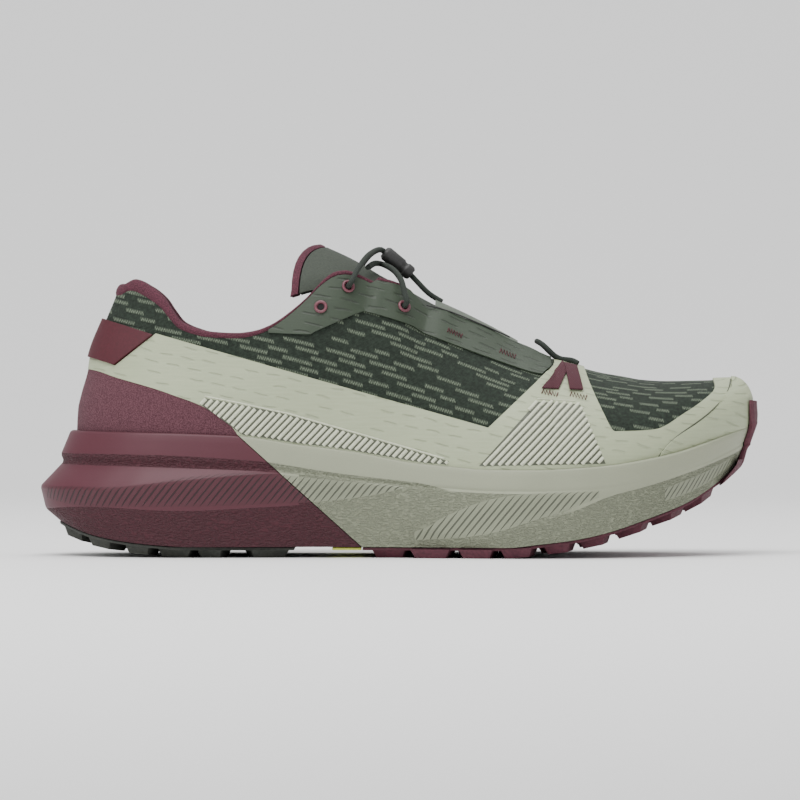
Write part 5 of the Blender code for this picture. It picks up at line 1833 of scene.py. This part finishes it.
def make_tacks(radius):
    """Zigzag stitches where webbing and film end."""
    paths = []
    for (ax, az), (bx, bz), size in TACK_ROWS:
        for side in (-1, 1):
            path = []
            for k in range(TACK_TEETH + 1):
                t = k / TACK_TEETH
                x = lay(LENGTH * (ax + (bx - ax) * t))
                z = HEIGHT * (az + (bz - az) * t) + (size if k % 2 else -size)
                path.append(FINE.nearest(side, x, z, STITCH_LIFT)[0])
            paths.append(path)
    finish_lines("bar_tacks", paths, radius, "tack", "binding")


# Stage
LIGHTS = (
    ("key", (-0.35, -0.7, 1.5), 26, 1.0),
    ("fill", (-1.0, -1.4, 0.5), 5, 1.2),
    ("top", (0.2, 0.3, 1.6), 12, 1.2),
)
WORLD_LIGHT = 0.75
# radius of the floor's sweep up to the wall, metres
SWEEP = 0.9
# camera: distance, width of view and height of its target in metres, tilt in degrees
CAMERA_DISTANCE = 2.6
VIEW_WIDTH = 0.32
CAMERA_TARGET = 0.062
CAMERA_TILT = 0.5
SENSOR = 36


def aim(obj, place, target):
    """Put a light or the camera at a place, turned to a target."""
    obj.location = place
    obj.rotation_euler = (target - Vector(place)).to_track_quat("-Z", "Y").to_euler()


def make_stage():
    """Floor that sweeps up into a wall, three lights, world and camera."""
    scene = bpy.context.scene
    line = [(-3.0, 0.0), (1.0, 0.0)]
    turns = [math.pi / 2 * k / 24 for k in range(1, 25)]
    line += [(1.0 + SWEEP * math.sin(a), SWEEP - SWEEP * math.cos(a)) for a in turns]
    line.append((1.0 + SWEEP, 3.0))
    points = [(x, y, z) for y, z in line for x in (-4.0, 4.0)]
    mesh = bpy.data.meshes.new("floor")
    mesh.from_pydata(points, [], [(2 * k, 2 * k + 1, 2 * k + 3, 2 * k + 2) for k in range(len(line) - 1)])
    floor = add_object("floor", mesh)
    floor.data.shade_smooth()
    floor.data.materials.append(Paint("floor", (0.88, 0.88, 0.88), 0.9).material)
    world = bpy.data.worlds.new("studio")
    world.use_nodes = True
    sky = world.node_tree.nodes["Background"].inputs
    sky[0].default_value = (1, 1, 1, 1)
    sky[1].default_value = WORLD_LIGHT
    scene.world = world
    for name, place, energy, size in LIGHTS:
        light = bpy.data.lights.new(name, "AREA")
        light.energy = energy
        light.size = size
        obj = add_object(name, light)
        aim(obj, place, Vector((0, 0, 0.05)))
    camera = bpy.data.cameras.new("camera")
    camera.lens = SENSOR * CAMERA_DISTANCE / VIEW_WIDTH
    camera.sensor_width = SENSOR
    obj = add_object("camera", camera)
    tilt = math.radians(CAMERA_TILT)
    target = Vector((0, 0, CAMERA_TARGET))
    back = Vector((0, -CAMERA_DISTANCE * math.cos(tilt), CAMERA_DISTANCE * math.sin(tilt)))
    aim(obj, target + back, target)
    scene.camera = obj


# Add-on
GROUPS = ("sole", "upper", "overlays", "lacing", "stage")


class TrailShoeSettings(bpy.types.PropertyGroup):
    """What can be changed in the sidebar."""
    rib_pitch: bpy.props.FloatProperty(
        name="Rib pitch", description="Distance between raised ribs in metres",
        default=RIB_PITCH, min=0.001, precision=5,
    )
    tack_radius: bpy.props.FloatProperty(
        name="Tack radius", description="Half thickness of the bar tacks' thread in metres",
        default=TACK_RADIUS, min=0.00005, precision=5,
    )


class TRAILSHOE_OT_sole(bpy.types.Operator):
    """Build the foam, its slots and the rubber"""
    bl_idname = "trailshoe.sole"
    bl_label = "Build sole"

    def execute(self, context):
        check_ready()
        make_midsoles()
        make_outsoles()
        return {"FINISHED"}


class TRAILSHOE_OT_upper(bpy.types.Operator):
    """Build the knit upper, insole, cuff and tongue"""
    bl_idname = "trailshoe.upper"
    bl_label = "Build upper"

    def execute(self, context):
        check_ready()
        make_upper()
        make_insole_look()
        make_cuff()
        make_tongue_look()
        make_garage_look()
        return {"FINISHED"}


class TRAILSHOE_OT_overlays(bpy.types.Operator):
    """Build the film overlays, ribs and bar tacks"""
    bl_idname = "trailshoe.overlays"
    bl_label = "Build overlays"

    def execute(self, context):
        check_ready()
        make_overlays()
        settings = context.scene.trailshoe
        make_ribs(settings.rib_pitch)
        make_tacks(settings.tack_radius)
        make_dark_lines()
        return {"FINISHED"}


class TRAILSHOE_OT_lacing(bpy.types.Operator):
    """Build eyelets, webbing, cord and lock"""
    bl_idname = "trailshoe.lacing"
    bl_label = "Build lacing"

    def execute(self, context):
        check_ready()
        make_laces(make_eyelets())
        make_strips()
        return {"FINISHED"}


class TRAILSHOE_OT_stage(bpy.types.Operator):
    """Set floor, lights and camera"""
    bl_idname = "trailshoe.stage"
    bl_label = "Set stage"

    def execute(self, context):
        check_ready()
        make_stage()
        return {"FINISHED"}


class TRAILSHOE_PT_panel(bpy.types.Panel):
    """Sidebar with the two settings and one button for each group."""
    bl_idname = "TRAILSHOE_PT_panel"
    bl_label = "Trail Shoe"
    bl_space_type = "VIEW_3D"
    bl_region_type = "UI"
    bl_category = "Trail Shoe"

    def draw(self, context):
        for word in ("rib_pitch", "tack_radius"):
            self.layout.prop(context.scene.trailshoe, word)
        for word in GROUPS:
            self.layout.operator("trailshoe.%s" % word)


CLASSES = (
    TrailShoeSettings, TRAILSHOE_OT_sole, TRAILSHOE_OT_upper, TRAILSHOE_OT_overlays,
    TRAILSHOE_OT_lacing, TRAILSHOE_OT_stage, TRAILSHOE_PT_panel,
)


def register():
    """Add the settings, the operators and the sidebar."""
    for item in CLASSES:
        bpy.utils.register_class(item)
    bpy.types.Scene.trailshoe = bpy.props.PointerProperty(type=TrailShoeSettings)


def unregister():
    """Take them out again."""
    del bpy.types.Scene.trailshoe
    for item in reversed(CLASSES):
        bpy.utils.unregister_class(item)


def main():
    """Build every group."""
    register()
    make_materials()
    for word in GROUPS:
        getattr(bpy.ops.trailshoe, word)()


if __name__ == "__main__":
    main()
